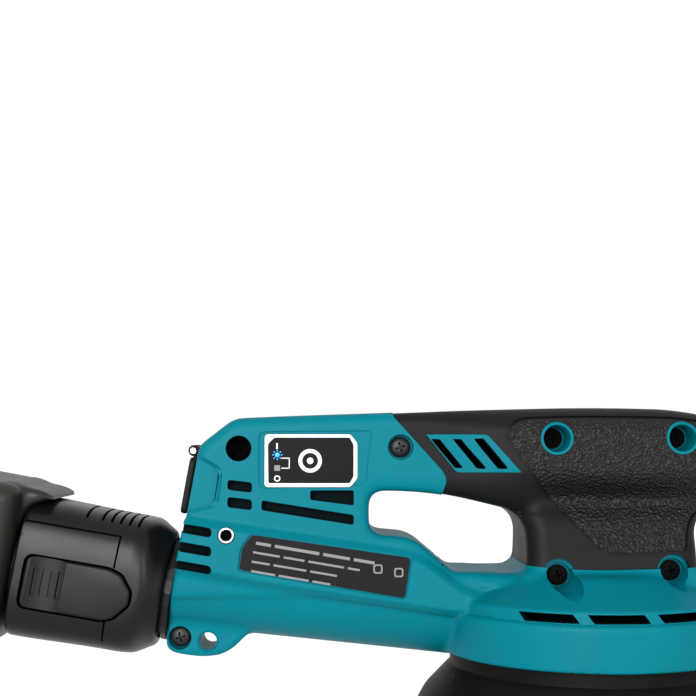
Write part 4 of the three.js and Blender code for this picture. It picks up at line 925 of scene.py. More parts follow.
@dataclass
class Clamshell:
    """The two teal housing halves with their slots, pockets, screw wells and hollow inside."""

    body: Body
    step: float = 0.9
    skin: float = 2.2
    wall: float = 2.5
    slot_pairs: int = 5
    slot_pitch: float = math.radians(25.8)
    slot_width: float = math.radians(20.5)
    slot_lean: float = math.radians(-1.3)

    def rubber_outline(self) -> Outline:
        """The part of the side view that the elastomer covers."""
        s = self.body.sizes
        line, top = s.rear + 75.4, s.top
        return Outline.rounded([
            (line, top + 5, 0), (line, top - 3.1, 1), (line + 17.4, top - 22.3, 2),
            (line + 18.4, top - 25, 2),
            (line + 16.7, top - 30, 0), (line + 16.5, s.shelf + 2.6, 0), (s.neck_rear + 2, s.shelf + 2.6, 2),
            (s.neck_rear + 20, s.shelf + 1.2, 12), (s.neck_front + 1, s.shelf + 2.2, 2),
            (s.neck_front + 30, s.shelf + 2.2, 0), (s.neck_front + 30, top + 5, 0)])

    def vent_outline(self) -> Outline:
        """The slanted vent panel between rear handle and palm."""
        x, z = self.body.sizes.rear + 86.4, self.body.sizes.top - 9.2
        return Outline.rounded([(x, z, 0.6), (x + 21.3, z, 1.2), (x + 33, z - 13.2, 0.6),
                                (x + 10.6, z - 13.2, 1.2)])

    def rim_outlines(self, grow: float = 0) -> list[Outline]:
        """The round teal rims of the two grip screws."""
        return [Outline.circle(s.x, s.z, 5.6 + grow) for s in SCREWS if "grip" in s.node]

    def outer(self) -> tuple[Surface, Surface]:
        """Level surfaces of the whole left half and of its grip alone."""
        body = self.body
        return (left_half(body.shell, (-154, 27), (58, 54, 116), self.step),
                left_half(body.upper, (-80, 50), (58, 27, 116), self.step))

    def core(self) -> Surface:
        """The nylon under the elastomer: the grip's field shrunk by the skin's thickness."""
        inset = self.skin + 0.3
        return left_half(lambda x, y, z: self.body.upper(x, y, z) + inset, (-80, 50), (56, 26, 114), 1.3)

    def hollow(self) -> Surface:
        """The room inside the left half: rear handle, grip, duct tunnel and motor space."""
        s, body = self.body.sizes, self.body
        deep = self.skin + self.wall + 0.6

        def room(x: Array, y: Array, z: Array) -> Array:
            side = np.abs(y)
            handle = rimmed(Outline.box(s.rear + 16, s.rear + 64, s.shelf + 13, s.top - 8.5, 2).distance(x,
                                                                                                         z),
                            side - 16.5, 2)
            grip = smooth_max(body.upper(x, y, z) + deep, s.shelf + 6 - z, 2)
            grip = smooth_max(grip, s.rear + 78 - x, 2)
            tunnel = np.maximum(np.hypot(y, z - s.tube_axis(x)) - s.tube_radius + self.wall + 0.8,
                                np.maximum(x + 46, -132 - x))
            tunnel = np.maximum(tunnel, z - s.shelf + 3.5)
            r = np.hypot(x, y)
            motor = np.maximum(r - 25.3, np.maximum(z - 52.4, s.head_low - 2 - z))
            fan = np.maximum(r - s.head_radius + 4.6, np.maximum(z - 30.8, s.head_low - 2 - z))
            ring = np.maximum(np.maximum(r - s.head_radius + 4.6, 28.2 - r),
                              np.maximum(z - s.slot_top + 1, 31.8 - z))
            shaft = np.maximum(r - 8.6, np.maximum(z - 61.5, 50 - z))
            link = np.maximum(np.maximum(side - 11, np.abs(x + 74) - 9), np.abs(z - 100) - 6)
            return reduce(np.minimum, (handle, grip, tunnel, fan, ring, motor, shaft, link))

        made = left_half(room, (-136, 26), (50, 50, 112), 1.7)
        # Index 1 gives the whole room the painted shade of nylon_in_shadow.
        made.slots = [1] * len(made.faces)
        return made

    def head_slot(self, middle: float) -> Surface:
        """One slanted slot of the head: a block over angle, depth and height.

        The angle shifts with height, so that its ends lean, and its mouth widens by a bevel.
        """
        s = self.body.sizes
        angles = np.linspace(-0.5, 0.5, 9) * self.slot_width
        levels = []
        for radius, grow in ((s.head_radius + 3, 0.5), (s.head_radius - 1.6, 0.35),
                             (s.head_radius - 2.4, 0), (44, 0)):
            low, high = s.band_top + 0.55 - grow, s.slot_top - 0.75 + grow
            a_low, a_high = middle + angles + self.slot_lean, middle + angles - self.slot_lean
            ring = [(radius * math.cos(a), radius * math.sin(a), low) for a in a_low]
            ring += [(radius * math.cos(a), radius * math.sin(a), high) for a in a_high[::-1]]
            levels.append(ring)
        return Surface.grid(np.array(levels), slot=1)

    def head_slots(self) -> Surface:
        """All slots of one half, on the left, in even steps from the nose."""
        return Surface.joined(*[self.head_slot((k + 0.5) * self.slot_pitch) for k in range(self.slot_pairs)])

    def side_pockets(self) -> list[Surface]:
        """Louvres, slots and the rear pocket of the handle's left side."""
        s = self.body.sizes
        face, top, x0 = s.half, s.top, s.rear
        cuts = []
        for drop, height in ((25.1, 2.7), (30.9, 2.8)):
            x, z = x0 + 19.4, top - drop
            cuts.append([(x, z, 0.8), (x + 7.6, z - 0.9, 0.8), (x + 7.6, z - 0.9 - height, 0.8),
                         (x, z - height, 0.8)])
        x, z = x0 + 31, top - 31.7
        cuts.append([(x, z - 0.4, 0.4), (x + 30.6, z - 5.3, 0.4), (x + 30.6, z - 7.9, 0.4), (x, z - 3, 0.4)])
        cuts.append([(x + 16.5, z + 3, 0.4), (x + 30.6, z + 3, 0.4), (x + 30.6, z - 1.3, 0.4),
                     (x + 16.5, z + 0.5, 0.4)])
        cuts.append([(x0 + 8.5, top - 16.9, 0), (x0 + 15.6, top - 21.2, 1.5), (x0 + 16.2, top - 23.2, 1.5),
                     (x0 + 15.2, top - 31.4, 1.5), (x0 + 13.6, top - 33.4, 1.5), (x0 + 4, top - 35.6, 0)])
        made = [pocket(Outline.rounded(c), face, 3.2, slot=1) for c in cuts[:-1]]
        made.append(pocket(Outline.rounded(cuts[-1]), face, 2.2, 1.2))
        slope = math.tan(s.tilt)
        for rise in (23.7, 17.5, 11.3):
            low = s.outlet_z + rise - 1.9
            a, b = s.rear_at(low) - 3, x0 + 13.6
            drop = (b - a) * slope
            ends = [(a, low + 0.3, 0), (b, low + 0.3 - drop, 1.2), (b, low + 2.9 - drop, 1.1),
                    (a, low + 2.9, 0)]
            made.append(pocket(Outline.rounded(ends), s.belt_half, 5, slot=1))
        return made

    def vent_slots(self) -> Surface:
        """Three leaning slots through the vent panel."""
        slots = []
        for k in range(3):
            x, z = self.body.sizes.rear + 88.3 + k * 7.4, self.body.sizes.top - 10.9
            corners = [(x, z, 0.5), (x + 3.0, z, 0.5), (x + 11.1, z - 9.9, 0.5), (x + 8.2, z - 9.9, 0.5)]
            slots.append(pocket(Outline.rounded(corners), self.body.sizes.half + 0.4, 9, 0.3, slot=1))
        return Surface.joined(*slots)

    def screw_wells(self) -> list[Surface]:
        """Round wells down to each screw head, and the scoops that the neck screws lie in."""
        wells = []
        for screw in SCREWS:
            hole = Outline.circle(screw.x, screw.z, screw.recess)
            # The well of the rear top screw gets index 1, painted shade on its walls.
            dark = int(screw.node == "screw_rear_top")
            half = self.body.sizes.half if "lug" not in screw.node else 9.6
            wells.append(loft_y([(40, hole.offset(0.4)), (half + 2, hole.offset(0.4)), (half - 0.6, hole),
                                 (screw.seat, hole)], dark))
            wells.append(plate_y(Outline.circle(screw.x, screw.z, SHANK_HOLE, 20), -2, screw.seat + 1))
            if "neck" in screw.node:
                slide = Outline.circle(screw.x + 1.4, screw.z - 1.5, screw.recess - 0.2)
                wells.append(loft_y([(46, slide.offset(0.6)), (30, slide),
                                     (screw.seat + 4.5, hole.offset(-0.2))]))
        return wells

    def boss(self, screw: Screw) -> list[tuple[Join, Surface]]:
        """A pillar across the hollow for a screw, and the hole that its shank threads into."""
        hole = plate_y(Outline.circle(screw.x, screw.z, SHANK_HOLE, 20), -2, 9)
        pillar = plate_y(Outline.circle(screw.x, screw.z, 5.4), -0.5, self.body.sizes.half - 3)
        bare = "neck" in screw.node or "lug" in screw.node
        return cuts(hole) if bare else adds(pillar) + cuts(hole)

    def lug_hole(self) -> Surface:
        """The hanging hole through the lug, with bevelled mouths."""
        hole = Outline.circle(self.body.sizes.rear + 11.9, self.body.sizes.outlet_z - 17, 3)
        return loft_y([(-30, hole.offset(0.7)), (-10, hole.offset(0.7)), (-9.3, hole), (9.3, hole),
                       (10, hole.offset(0.7)), (30, hole.offset(0.7))])

    def control_wells(self) -> Surface:
        """Wells for the two buttons and the speed dial in the top of the handle."""
        s = self.body.sizes
        top = s.top
        wells = [(s.start_x, 5.4, 22), (s.stop_x, 5.4, 22), (s.dial_x, 7.9, 8)]
        return Surface.joined(*[turned([(r + 0.5, top + 3), (r + 0.5, top - 3.2), (r, top - 3.9),
                                        (r, top - deep)], 48,
                                       centre=(x, 0)) for x, r, deep in wells])

    def inlet_well(self) -> Surface:
        """The rectangular well for the power inlet in the rear face."""
        return self.body.sizes.at_outlet(plate_y(Outline.box(-14, 3, 28.2, 45.8), -12.3, 12.3, slot=1))

    def halves(self) -> tuple[Surface, Surface]:
        """Builds the left half, and the grip's outer surface that the skins need."""
        whole, grip = self.outer()
        core = self.core()
        zone = plate_y(self.rubber_outline(), -80, 80)
        islands = [plate_y(o, 12, 60) for o in (self.vent_outline().offset(-0.15), *self.rim_outlines())]
        teal = combined(whole, *cuts(zone), *adds(core))
        for island in islands:
            teal = combined(teal, *adds(combined(grip, (Join.KEEP_SHARED, island))))
        steps = cuts(self.hollow(), self.head_slots(), *self.side_pockets(), self.vent_slots(),
                     self.lug_hole(),
                     self.control_wells(), self.inlet_well())
        steps += [step for screw in SCREWS for step in self.boss(screw)]
        half_space = plate_y(Outline.box(-200, 200, 0, 200), self.body.seam, 90)
        return combined(teal, *steps, (Join.KEEP_SHARED, half_space)), grip


def mirrored(surface: Surface) -> Surface:
    """The same surface on the other side of the middle plane: y changes sign."""
    return surface.turned_by(np.diag([1, -1, 1]))


@dataclass
class GripSkins:
    """The elastomer skins over grip and neck, with the etched palm panel and its groove."""

    shell: Clamshell
    groove: float = 0.9
    groove_depth: float = 0.6

    def panel(self) -> Outline:
        """The etched panel that wraps the palm, the nose and the front of the neck."""
        top, front = self.shell.body.sizes.top, self.shell.body.sizes.neck_front
        return Outline.rounded([
            (-32, top - 9.6, 2.5), (-27, top - 4.4, 3), (-6, top - 3.7, 8), (30, top - 4.2, 8),
            (44, top - 7.5, 6), (49.5, top - 16.5, 5), (46, top - 28.5, 6), (front - 3.5, top - 38, 5),
            (front - 5.5, top - 48.6, 1.5), (3.5, top - 49.6, 3), (-0.5, top - 47.6, 2),
            (-15.8, top - 31.2, 3)], 5)

    def under(self, inset: float) -> Surface:
        """Level surface of the grip shrunk by `inset`."""
        body = self.shell.body
        return left_half(lambda x, y, z: body.upper(x, y, z) + inset, (-80, 50), (57, 27, 116), 1.2)

    def left(self, grip: Surface) -> Surface:
        """The left skin: outer grip surface, its inner face, windows and the panel's groove."""
        body = self.shell.body
        zone = plate_y(self.shell.rubber_outline().offset(-0.12), body.seam, 80)
        windows = [self.shell.vent_outline(), *self.shell.rim_outlines(0.15)]
        windows += [Outline.circle(s.x, s.z, s.recess + 1.5) for s in SCREWS if "neck" in s.node]
        panel = self.panel()
        band = combined(plate_y(panel.offset(self.groove), 3, 80),
                        *cuts(plate_y(panel, 2, 81), self.under(self.groove_depth)))
        skin = combined(grip, (Join.KEEP_SHARED, zone),
                        *cuts(self.under(self.shell.skin), *[plate_y(w, -5, 80) for w in windows], band))
        middle = np.array([skin.points[f].mean(0) for f in skin.faces])
        on_panel = (panel.distance(middle[:, 0], middle[:, 2]) < 0) & (middle[:, 1] > 4)
        skin.slots = on_panel.astype(int).tolist()
        return skin

    def build(self, grip: Surface) -> None:
        """Adds both skins."""
        left = self.left(grip)
        for side, skin in (("left", left), ("right", mirrored(left))):
            duty = Duty("tool_body", f"grip_skin_{side}", "elastomer")
            add_piece(f"palm_skin_{side}", skin, duty, ELASTOMER, GRAINED_ELASTOMER)


@dataclass
class Trim:
    """Label, rating plate, light and eyelet on the right side of the handle."""

    sizes: Sizes
    recess: float = 0.8

    def label(self) -> Outline:
        """The control label: a rectangle with bevelled front corners."""
        x, z, w, h = self.sizes.rear + 31.6, self.sizes.top - 27.2, 31.6, 17.9
        return Outline.rounded([(x, z, 1.4), (x + w - 2.4, z, 0.8), (x + w, z + 3, 0.8),
                                (x + w, z + h - 3, 0.8),
                                (x + w - 2.4, z + h, 0.8), (x, z + h, 1.4)])

    def label_field(self) -> Outline:
        """The shallow panel that the label sits in, which runs on towards the grip."""
        s = self.sizes
        return Outline.rounded([(s.rear + 29.8, s.top - 27.6, 2.2), (s.rear + 66, s.top - 26.4, 2.6),
                                (s.rear + 67, s.top - 15, 3), (s.rear + 68.4, s.top - 8.2, 2.4),
                                (s.rear + 29.8, s.top - 8.6, 2.2)])

    def plate(self) -> Outline:
        """The rating plate, which follows the slope of the belt."""
        x, z = self.sizes.rear, self.sizes.shelf
        return Outline.rounded([(x + 27.5, z + 13.4, 1.4), (x + 24.3, z + 8.8, 1.2), (x + 23.4, z + 1.8, 1.2),
                                (x + 79, z - 7.8, 1.4), (x + 81, z + 5.6, 1.4)])

    def cutters(self) -> list[Surface]:
        """Recesses for the trim in the right half."""
        s = self.sizes
        return [pocket(self.label_field(), -s.half, 0.45, 0.3),
                pocket(self.label().offset(0.25), -s.half, self.recess, 0.1),
                pocket(self.plate().offset(0.5), -s.belt_half, self.recess, 0.3),
                # The eyelet's hole gets index 1, painted shade on its walls.
                pocket(Outline.circle(*s.eyelet(), 2.75), -s.belt_half, 7, 0.2, 1)]

    def bar(self, x0: float, z0: float, x1: float, z1: float, width: float) -> Outline:
        """Straight stroke between two points."""
        along = np.array([x1 - x0, z1 - z0])
        across = np.array([-along[1], along[0]]) / np.linalg.norm(along) * width / 2
        a, b = np.array([x0, z0]), np.array([x1, z1])
        return Outline(np.array([a - across, b - across, b + across, a + across]))

    def build_label(self) -> None:
        """White film with a black field and plain generic marks: on, off, light rays and a dot."""
        s = self.sizes
        face = -s.half + 0.05
        x, z = s.rear + 31.6, s.top - 27.2
        lamp_x, lamp_z = x + 4.3, z + 10.9

        def film(shape: Outline, out: float, into: float, slot: int) -> Surface:
            return plate_y(shape, face - out, face + into, slot=slot)

        black = Outline.rounded([
            (x + 1.3, z + 1.3, 0.8), (x + 29, z + 1.3, 0.6), (x + 30.3, z + 3.6, 0.6),
            (x + 30.3, z + 14.4, 0.6),
            (x + 29, z + 16.8, 0.6), (x + 3.2, z + 16.8, 0.8), (x + 1.1, z + 14.6, 0.8)])
        strokes = ((4.2, 14.9, 4.2, 12.9, 0.5), (8.4, 9.8, 8.4, 6.4, 0.3), (5.7, 9.8, 8.5, 9.8, 0.3),
                   (5.7, 6.4, 8.5, 6.4, 0.3))
        marks = [self.bar(x + x0, z + z0, x + x1, z + z1, width) for x0, z0, x1, z1, width in strokes]
        disc, dot, core = (Outline.circle(x + 15.5, z + 8.9, radius) for radius in (4.0, 2.7, 1.1))
        ring, hole = (Outline.circle(lamp_x, z + 2.9, radius) for radius in (1.05, 0.65))
        grey = Outline.box(x + 3.3, x + 5.3, z + 5.5, z + 7.4, 0.3)
        ways = [(math.cos(a), math.sin(a)) for a in np.arange(8) * math.pi / 4]
        rays = [self.bar(lamp_x + 1.15 * c, lamp_z + 1.15 * d, lamp_x + 1.7 * c, lamp_z + 1.7 * d, 0.28)
                for c, d in ways]
        light_hole = plate_y(Outline.circle(lamp_x, lamp_z, 0.9, 24), -30, -10)
        layers = [combined(film(self.label(), 0, 0.45, 0), *cuts(light_hole)),
                  combined(film(black, 0.04, 0.2, 1), *cuts(light_hole))]
        layers += [film(o, 0.08, 0.1, 0) for o in (*marks, disc, ring)]
        layers += [film(o, 0.11, 0.05, 1) for o in (dot, hole)]
        layers += [film(core, 0.14, 0, 0), film(grey, 0.08, 0, 2), *[film(o, 0.08, 0, 3) for o in rays]]
        add_piece("label_film", Surface.joined(*layers), Duty("tool_body", "control_label", "white_label"),
                  WHITE_PRINT, BLACK_PRINT, PLATE_PRINT, BLUE_LIGHT)
        lens = turned([(0.02, -1.5), (0.8, -1.5), (0.8, 0.0), (0.65, 0.12), (0.02, 0.16)], 32)
        add_piece("light_guide", lens.turned_by(TO_RIGHT, (lamp_x, -s.half, lamp_z)),
                  Duty("tool_body", "status_lens", "blue_lens"), BLUE_LIGHT)

    def build_plate(self) -> None:
        """Dark film with rows of plain bars and two small frames in place of print."""
        s = self.sizes
        face = -s.belt_half + 0.15
        x, z, slope = s.rear, s.shelf, math.tan(math.radians(-9.6))
        shapes = []
        rows = ((29, (5, 15, 9, 7)), (28, (9, 7, 12, 4)), (27.6, (6, 11, 9)), (27.4, (8, 10, 6)))
        for row, (start, lengths) in enumerate(rows):
            a = x + start
            for length in lengths:
                z0 = z + 11.0 - row * 3.2 + (a - x - 27) * slope
                shapes.append(self.bar(a, z0, a + length, z0 + length * slope, 0.7 if row else 1.0))
                a += length + 1.3
        layers = [plate_y(self.plate(), face, face + 0.4)]
        layers += [plate_y(o, face - 0.05, face + 0.1, slot=1) for o in shapes]
        for x0, z0 in ((x + 68.5, z + 0.4), (x + 75.5, z - 0.8)):
            outer, inner = (Outline.box(x0 + g, x0 + 3.1 - g, z0 + g, z0 + 3.1 - g, reach)
                            for g, reach in ((0, 0.9), (0.5, 0.6)))
            layers.append(combined(plate_y(outer, face - 0.05, face + 0.1, slot=1),
                                   *cuts(plate_y(inner, face - 1, face + 1, slot=1))))
        add_piece("plate_film", Surface.joined(*layers), Duty("tool_body", "rating_plate", "dark_label"),
                  PLATE_FILM, PLATE_PRINT)

    def build_eyelet(self) -> None:
        """The small metal eyelet above the plate: a ring with a rolled lip."""
        x, z = self.sizes.eyelet()
        ring = turned(soft_profile([(1.85, -5, 0.1), (2.5, -5, 0.1), (2.5, -0.3, 0.1), (2.7, 0.15, 0.15),
                                    (2.2, 0.35, 0.15), (1.85, 0, 0.15)]), 48, closed=True)
        add_piece("plated_eyelet", ring.turned_by(TO_RIGHT, (x, -self.sizes.belt_half, z)),
                  Duty("tool_body", "eyelet", "bright_steel"), BRIGHT_STEEL)

    def build(self) -> None:
        """Adds every trim piece."""
        self.build_label()
        self.build_plate()
        self.build_eyelet()


@dataclass
class ScrewSet:
    """Clamshell screws: domed heads with a cross recess and a thread on the shank."""

    head: float = 3.5
    tall: float = 2.0
    shank: float = 2.0
    reach: float = 8.0

    def one(self, screw: Screw) -> Surface:
        """One screw along Z with its seat at 0, cut by a tapered cross."""
        length = screw.seat + self.reach
        turns = np.arange(0, length - 2, 0.45)
        thread = [(self.shank - (0.3 if k % 2 else 0.0), -length + 1 + t) for k, t in enumerate(turns)]
        low = 0.3
        profile = [(0.02, -length), (1.2, -length), *thread, (self.shank, low), (self.head - 0.2, low),
                   (self.head, low + 0.4), (self.head - 0.15, low + 1.2),
                   (self.head - 1.2, low + self.tall - 0.15),
                   (0.02, low + self.tall)]
        arms = []
        for turn in (0.3, 0.3 + math.pi / 2):
            c, s = math.cos(turn), math.sin(turn)
            spin = np.array([[c, -s, 0], [s, c, 0], [0, 0, 1]])
            ring = [[(u * k, v * k, z) for u, v in ((-2.1, -0.42), (2.1, -0.42), (2.1, 0.42), (-2.1, 0.42))]
                    for k, z in ((0.45, 0.7), (1, low + self.tall + 0.5))]
            arms.append(Surface.grid(np.array(ring)).turned_by(spin))
        return combined(turned(profile, 40), *cuts(*arms))

    def build(self) -> None:
        """Adds the seven screws."""
        for screw in SCREWS:
            # Every screw but those of the handle and the lug takes the painted shade of groove_shadow instead
            # of black oxide steel.
            finish = BLACK_SCREW if screw.node in ("screw_handle", "screw_lug") else GROOVE_SHADE
            placed = self.one(screw).turned_by(TO_RIGHT, (screw.x, -screw.seat, screw.z))
            add_piece(screw.node + "_head", placed,
                      Duty("tool_body", screw.node, "dark_steel"), finish)


@dataclass
class Controls:
    """Start and stop buttons and the speed dial in the top of the handle."""

    sizes: Sizes

    def button(self, x: float, crown: float, name: str, mark: Surface) -> None:
        """A round button with a dished top and a raised mark."""
        low = self.sizes.top - 15.6
        body = turned([(0.02, low), (4.4, low), (4.4, low + 8), (5, low + 8.5), (5, crown - 0.7),
                       (4.8, crown - 0.2),
                       (4.3, crown), (3.6, crown - 0.1), (2, crown - 0.45), (0.02, crown - 0.55)], 56,
                       centre=(x, 0))
        add_piece(name + "_cap", Surface.joined(body, mark), Duty(name, name, "black_plastic"),
                  BLACK_GLOSS, WHITE_PRINT)

    def build(self) -> None:
        """Adds both buttons and the dial."""
        s = self.sizes
        crown = s.top - 3.4
        line = plate_y(Outline.box(s.start_x - 0.3, s.start_x + 0.3, crown - 0.8, crown - 0.3), -1.4, 1.4,
                       slot=1)
        circle = turned([(1.0, crown - 0.1), (1.5, crown - 0.1), (1.5, crown + 0.2), (1.0, crown + 0.2)], 32,
                        closed=True, centre=(s.stop_x, 0), slot=1)
        self.button(s.start_x, crown, "start_button", line)
        self.button(s.stop_x, crown + 0.5, "stop_button", circle)
        self.build_dial(s.top - 2.7)

    def build_dial(self, crown: float) -> None:
        """The dial: 30 grip flutes around its rim and an arc of raised scale dots that grow in size."""
        teeth, middle = 30, self.sizes.dial_x
        a = np.arange(teeth * 8) * 2 * math.pi / (teeth * 8)
        flute = 0.28 * np.maximum(0, np.cos(a * teeth)) ** 2
        rings = []
        for radius, z, depth in ((3, crown - 12, 0), (3, crown - 4.2, 0), (7.0, crown - 3.9, 1),
                                 (7.5, crown - 3.5, 1),
                                 (7.5, crown - 0.7, 1), (7.1, crown - 0.2, 0.6), (6.4, crown, 0),
                                 (5.4, crown - 0.25, 0),
                                 (0.03, crown - 0.3, 0)):
            r = radius - flute * depth
            rings.append(np.stack([middle + r * np.cos(a), r * np.sin(a), np.full_like(a, z)], 1))
        dial = Surface.grid(np.array(rings))
        dots = [turned([(0.02, crown - 0.4), (size, crown - 0.4), (size, crown - 0.18),
                        (0.02, crown - 0.15)], 16,
                       centre=(middle + 4.2 * math.cos(t), 4.2 * math.sin(t)), slot=1)
                for size, t in zip((0.3, 0.38, 0.46, 0.54, 0.62), np.linspace(-2.2, 2.2, 5))]
        add_piece("speed_dial_wheel", Surface.joined(dial, *dots),
                  Duty("speed_dial", "speed_dial", "black_plastic"),
                  BLACK_NYLON, WHITE_PRINT)


def hinge_bore(x: float, z: float) -> Surface:
    """Cutter along Y for a hinge pin at x, z."""
    return plate_y(Outline.circle(x, z, PIN_HOLE), -30, 30)


def hinge_barrel(x: float, z: float, radius: float, reach: float, segments: int = 48) -> Surface:
    """Ring along Y around a hinge pin, from -reach to reach, with bevelled ends."""
    ring = [(PIN_HOLE, -reach), (radius - 0.2, -reach), (radius, 0.2 - reach), (radius, reach - 0.2),
            (radius - 0.2, reach), (PIN_HOLE, reach)]
    return turned(ring, segments, closed=True).turned_by(ALONG_Y, (x, 0, z))


@dataclass
class InletCap:
    """The elastomer flap over the power inlet on the rear face, with its hinge barrel."""

    sizes: Sizes

    def build(self) -> None:
        """Flap, lift to the hinge, barrel and three finger ribs, joined into one solid."""
        hinge_x, hinge_z = 2.2, 48.9
        flap = plate_y(Outline.box(-13.4, 13.4, 27.1, 46.6, 2.4), 0.3, 2.6, 0.7).turned_by(TO_REAR)
        lift = plate_y(Outline.box(0.35, 2.0, 45.6, 48.4), -7.8, 7.8)
        ribs = [plate_y(Outline.box(2.3, 3.1, z, z + 1.1, 0.4), -8, 8) for z in (29.6, 32, 34.4)]
        made = combined(flap, *adds(lift, hinge_barrel(hinge_x, hinge_z, 2, 8, 40), *ribs),
                        *cuts(hinge_bore(hinge_x, hinge_z)))
        add_piece("inlet_flap", self.sizes.at_outlet(made), Duty("inlet_cap", "inlet_cap", "elastomer"),
                  ELASTOMER)


@dataclass
class PadStack:
    """Skirt, backing plate, foam, hook face and abrasive, from the head down to the floor."""

    sizes: Sizes
    orbit: float = 1.4
    holes: int = 8
    hole_radius: float = 4.5
    hole_circle: float = 45.0

    def dust_holes(self, low: float, high: float) -> Surface:
        """The ring of dust holes as one cutter."""
        turns = (np.arange(self.holes) + 0.5) * 2 * math.pi / self.holes
        return Surface.joined(*[turned([(0.02, low), (self.hole_radius, low), (self.hole_radius, high),
                                        (0.02, high)],
                                       32, centre=(self.orbit + self.hole_circle * math.cos(t),
                                                   self.hole_circle * math.sin(t))) for t in turns])

    def disc(self, profile: Sequence[tuple[float, float]], closed: bool) -> Surface:
        """A disc or ring on the pad's axis with its dust holes cut out."""
        low, high = min(p[1] for p in profile), max(p[1] for p in profile)
        whole = turned(profile, 144, closed, (self.orbit, 0))
        return combined(whole, *cuts(self.dust_holes(low - 1, high + 1)))

    def build(self) -> None:
        """Adds the skirt and the four layers of the pad."""
        r, rim, head = self.sizes.pad_radius, 11.7, self.sizes.head_low
        skirt = turned(soft_profile([
            (49, head - 0.3, 0), (49.0, 25.2, 0.3), (50.4, 24.0, 0.6), (58.2, 15.9, 1.6), (r - 1.9, rim, 0.5),
            (r - 4.3, rim, 0.3), (r - 6.6, 15.5, 1), (46.4, 24.4, 1), (46.4, head - 0.3, 0)]), 160,
            closed=True)
        slot = plate_y(Outline.box(-62, -50, 22.2, 24.4), -24, -14)
        add_piece("dust_skirt", combined(skirt, *cuts(slot)), Duty("tool_body", "skirt", "elastomer"),
                  SKIRT_RUBBER, sharp=50)
        plate = self.disc([(0.02, 8.1), (r - 2.2, 8.1), (r - 1.5, 8.7), (r - 1.5, 10.4), (r - 2, 10.9),
                           (30, 10.9),
                           (28, 10.3), (12, 10.3), (9, 12.4), (6, 12.5), (6, 17.6), (0.02, 17.6)], False)
        bore = turned([(0.02, 0), (3.1, 0), (3.1, 40), (0.02, 40)], 40, centre=(self.orbit, 0))
        add_piece("pad_plate", combined(plate, *cuts(bore)), Duty("pad", "backing_plate", "black_plastic"),
                  BLACK_NYLON)
        foam = self.disc(soft_profile([(7.5, 2.6, 0.2), (r - 0.9, 2.6, 0.6), (r - 0.3, 4.3, 1.4),
                                       (r - 1.0, 6.2, 1.2),
                                       (r - 1.4, 7.8, 0.5), (7.5, 7.8, 0.2)]), True)
        foam_piece = add_piece("foam_cushion", foam, Duty("pad", "foam_pad", "pad_foam"), PAD_FOAM)
        hook = self.disc(soft_profile([(7.5, 1.3, 0.1), (r - 0.4, 1.3, 0.2), (r - 0.4, 2.3, 0.3),
                                       (7.5, 2.3, 0.1)]), True)
        add_piece("hook_layer", hook, Duty("pad", "hook_face", "hook_fabric"), HOOK_FABRIC)
        paper = self.disc([(0.02, 0), (r - 0.1, 0), (r, 0.2), (r, 0.8), (r - 0.15, 1), (0.02, 1)], False)
        add_piece("abrasive_sheet", paper, Duty("pad", "abrasive_disc", "abrasive_paper"), ABRASIVE_PAPER)


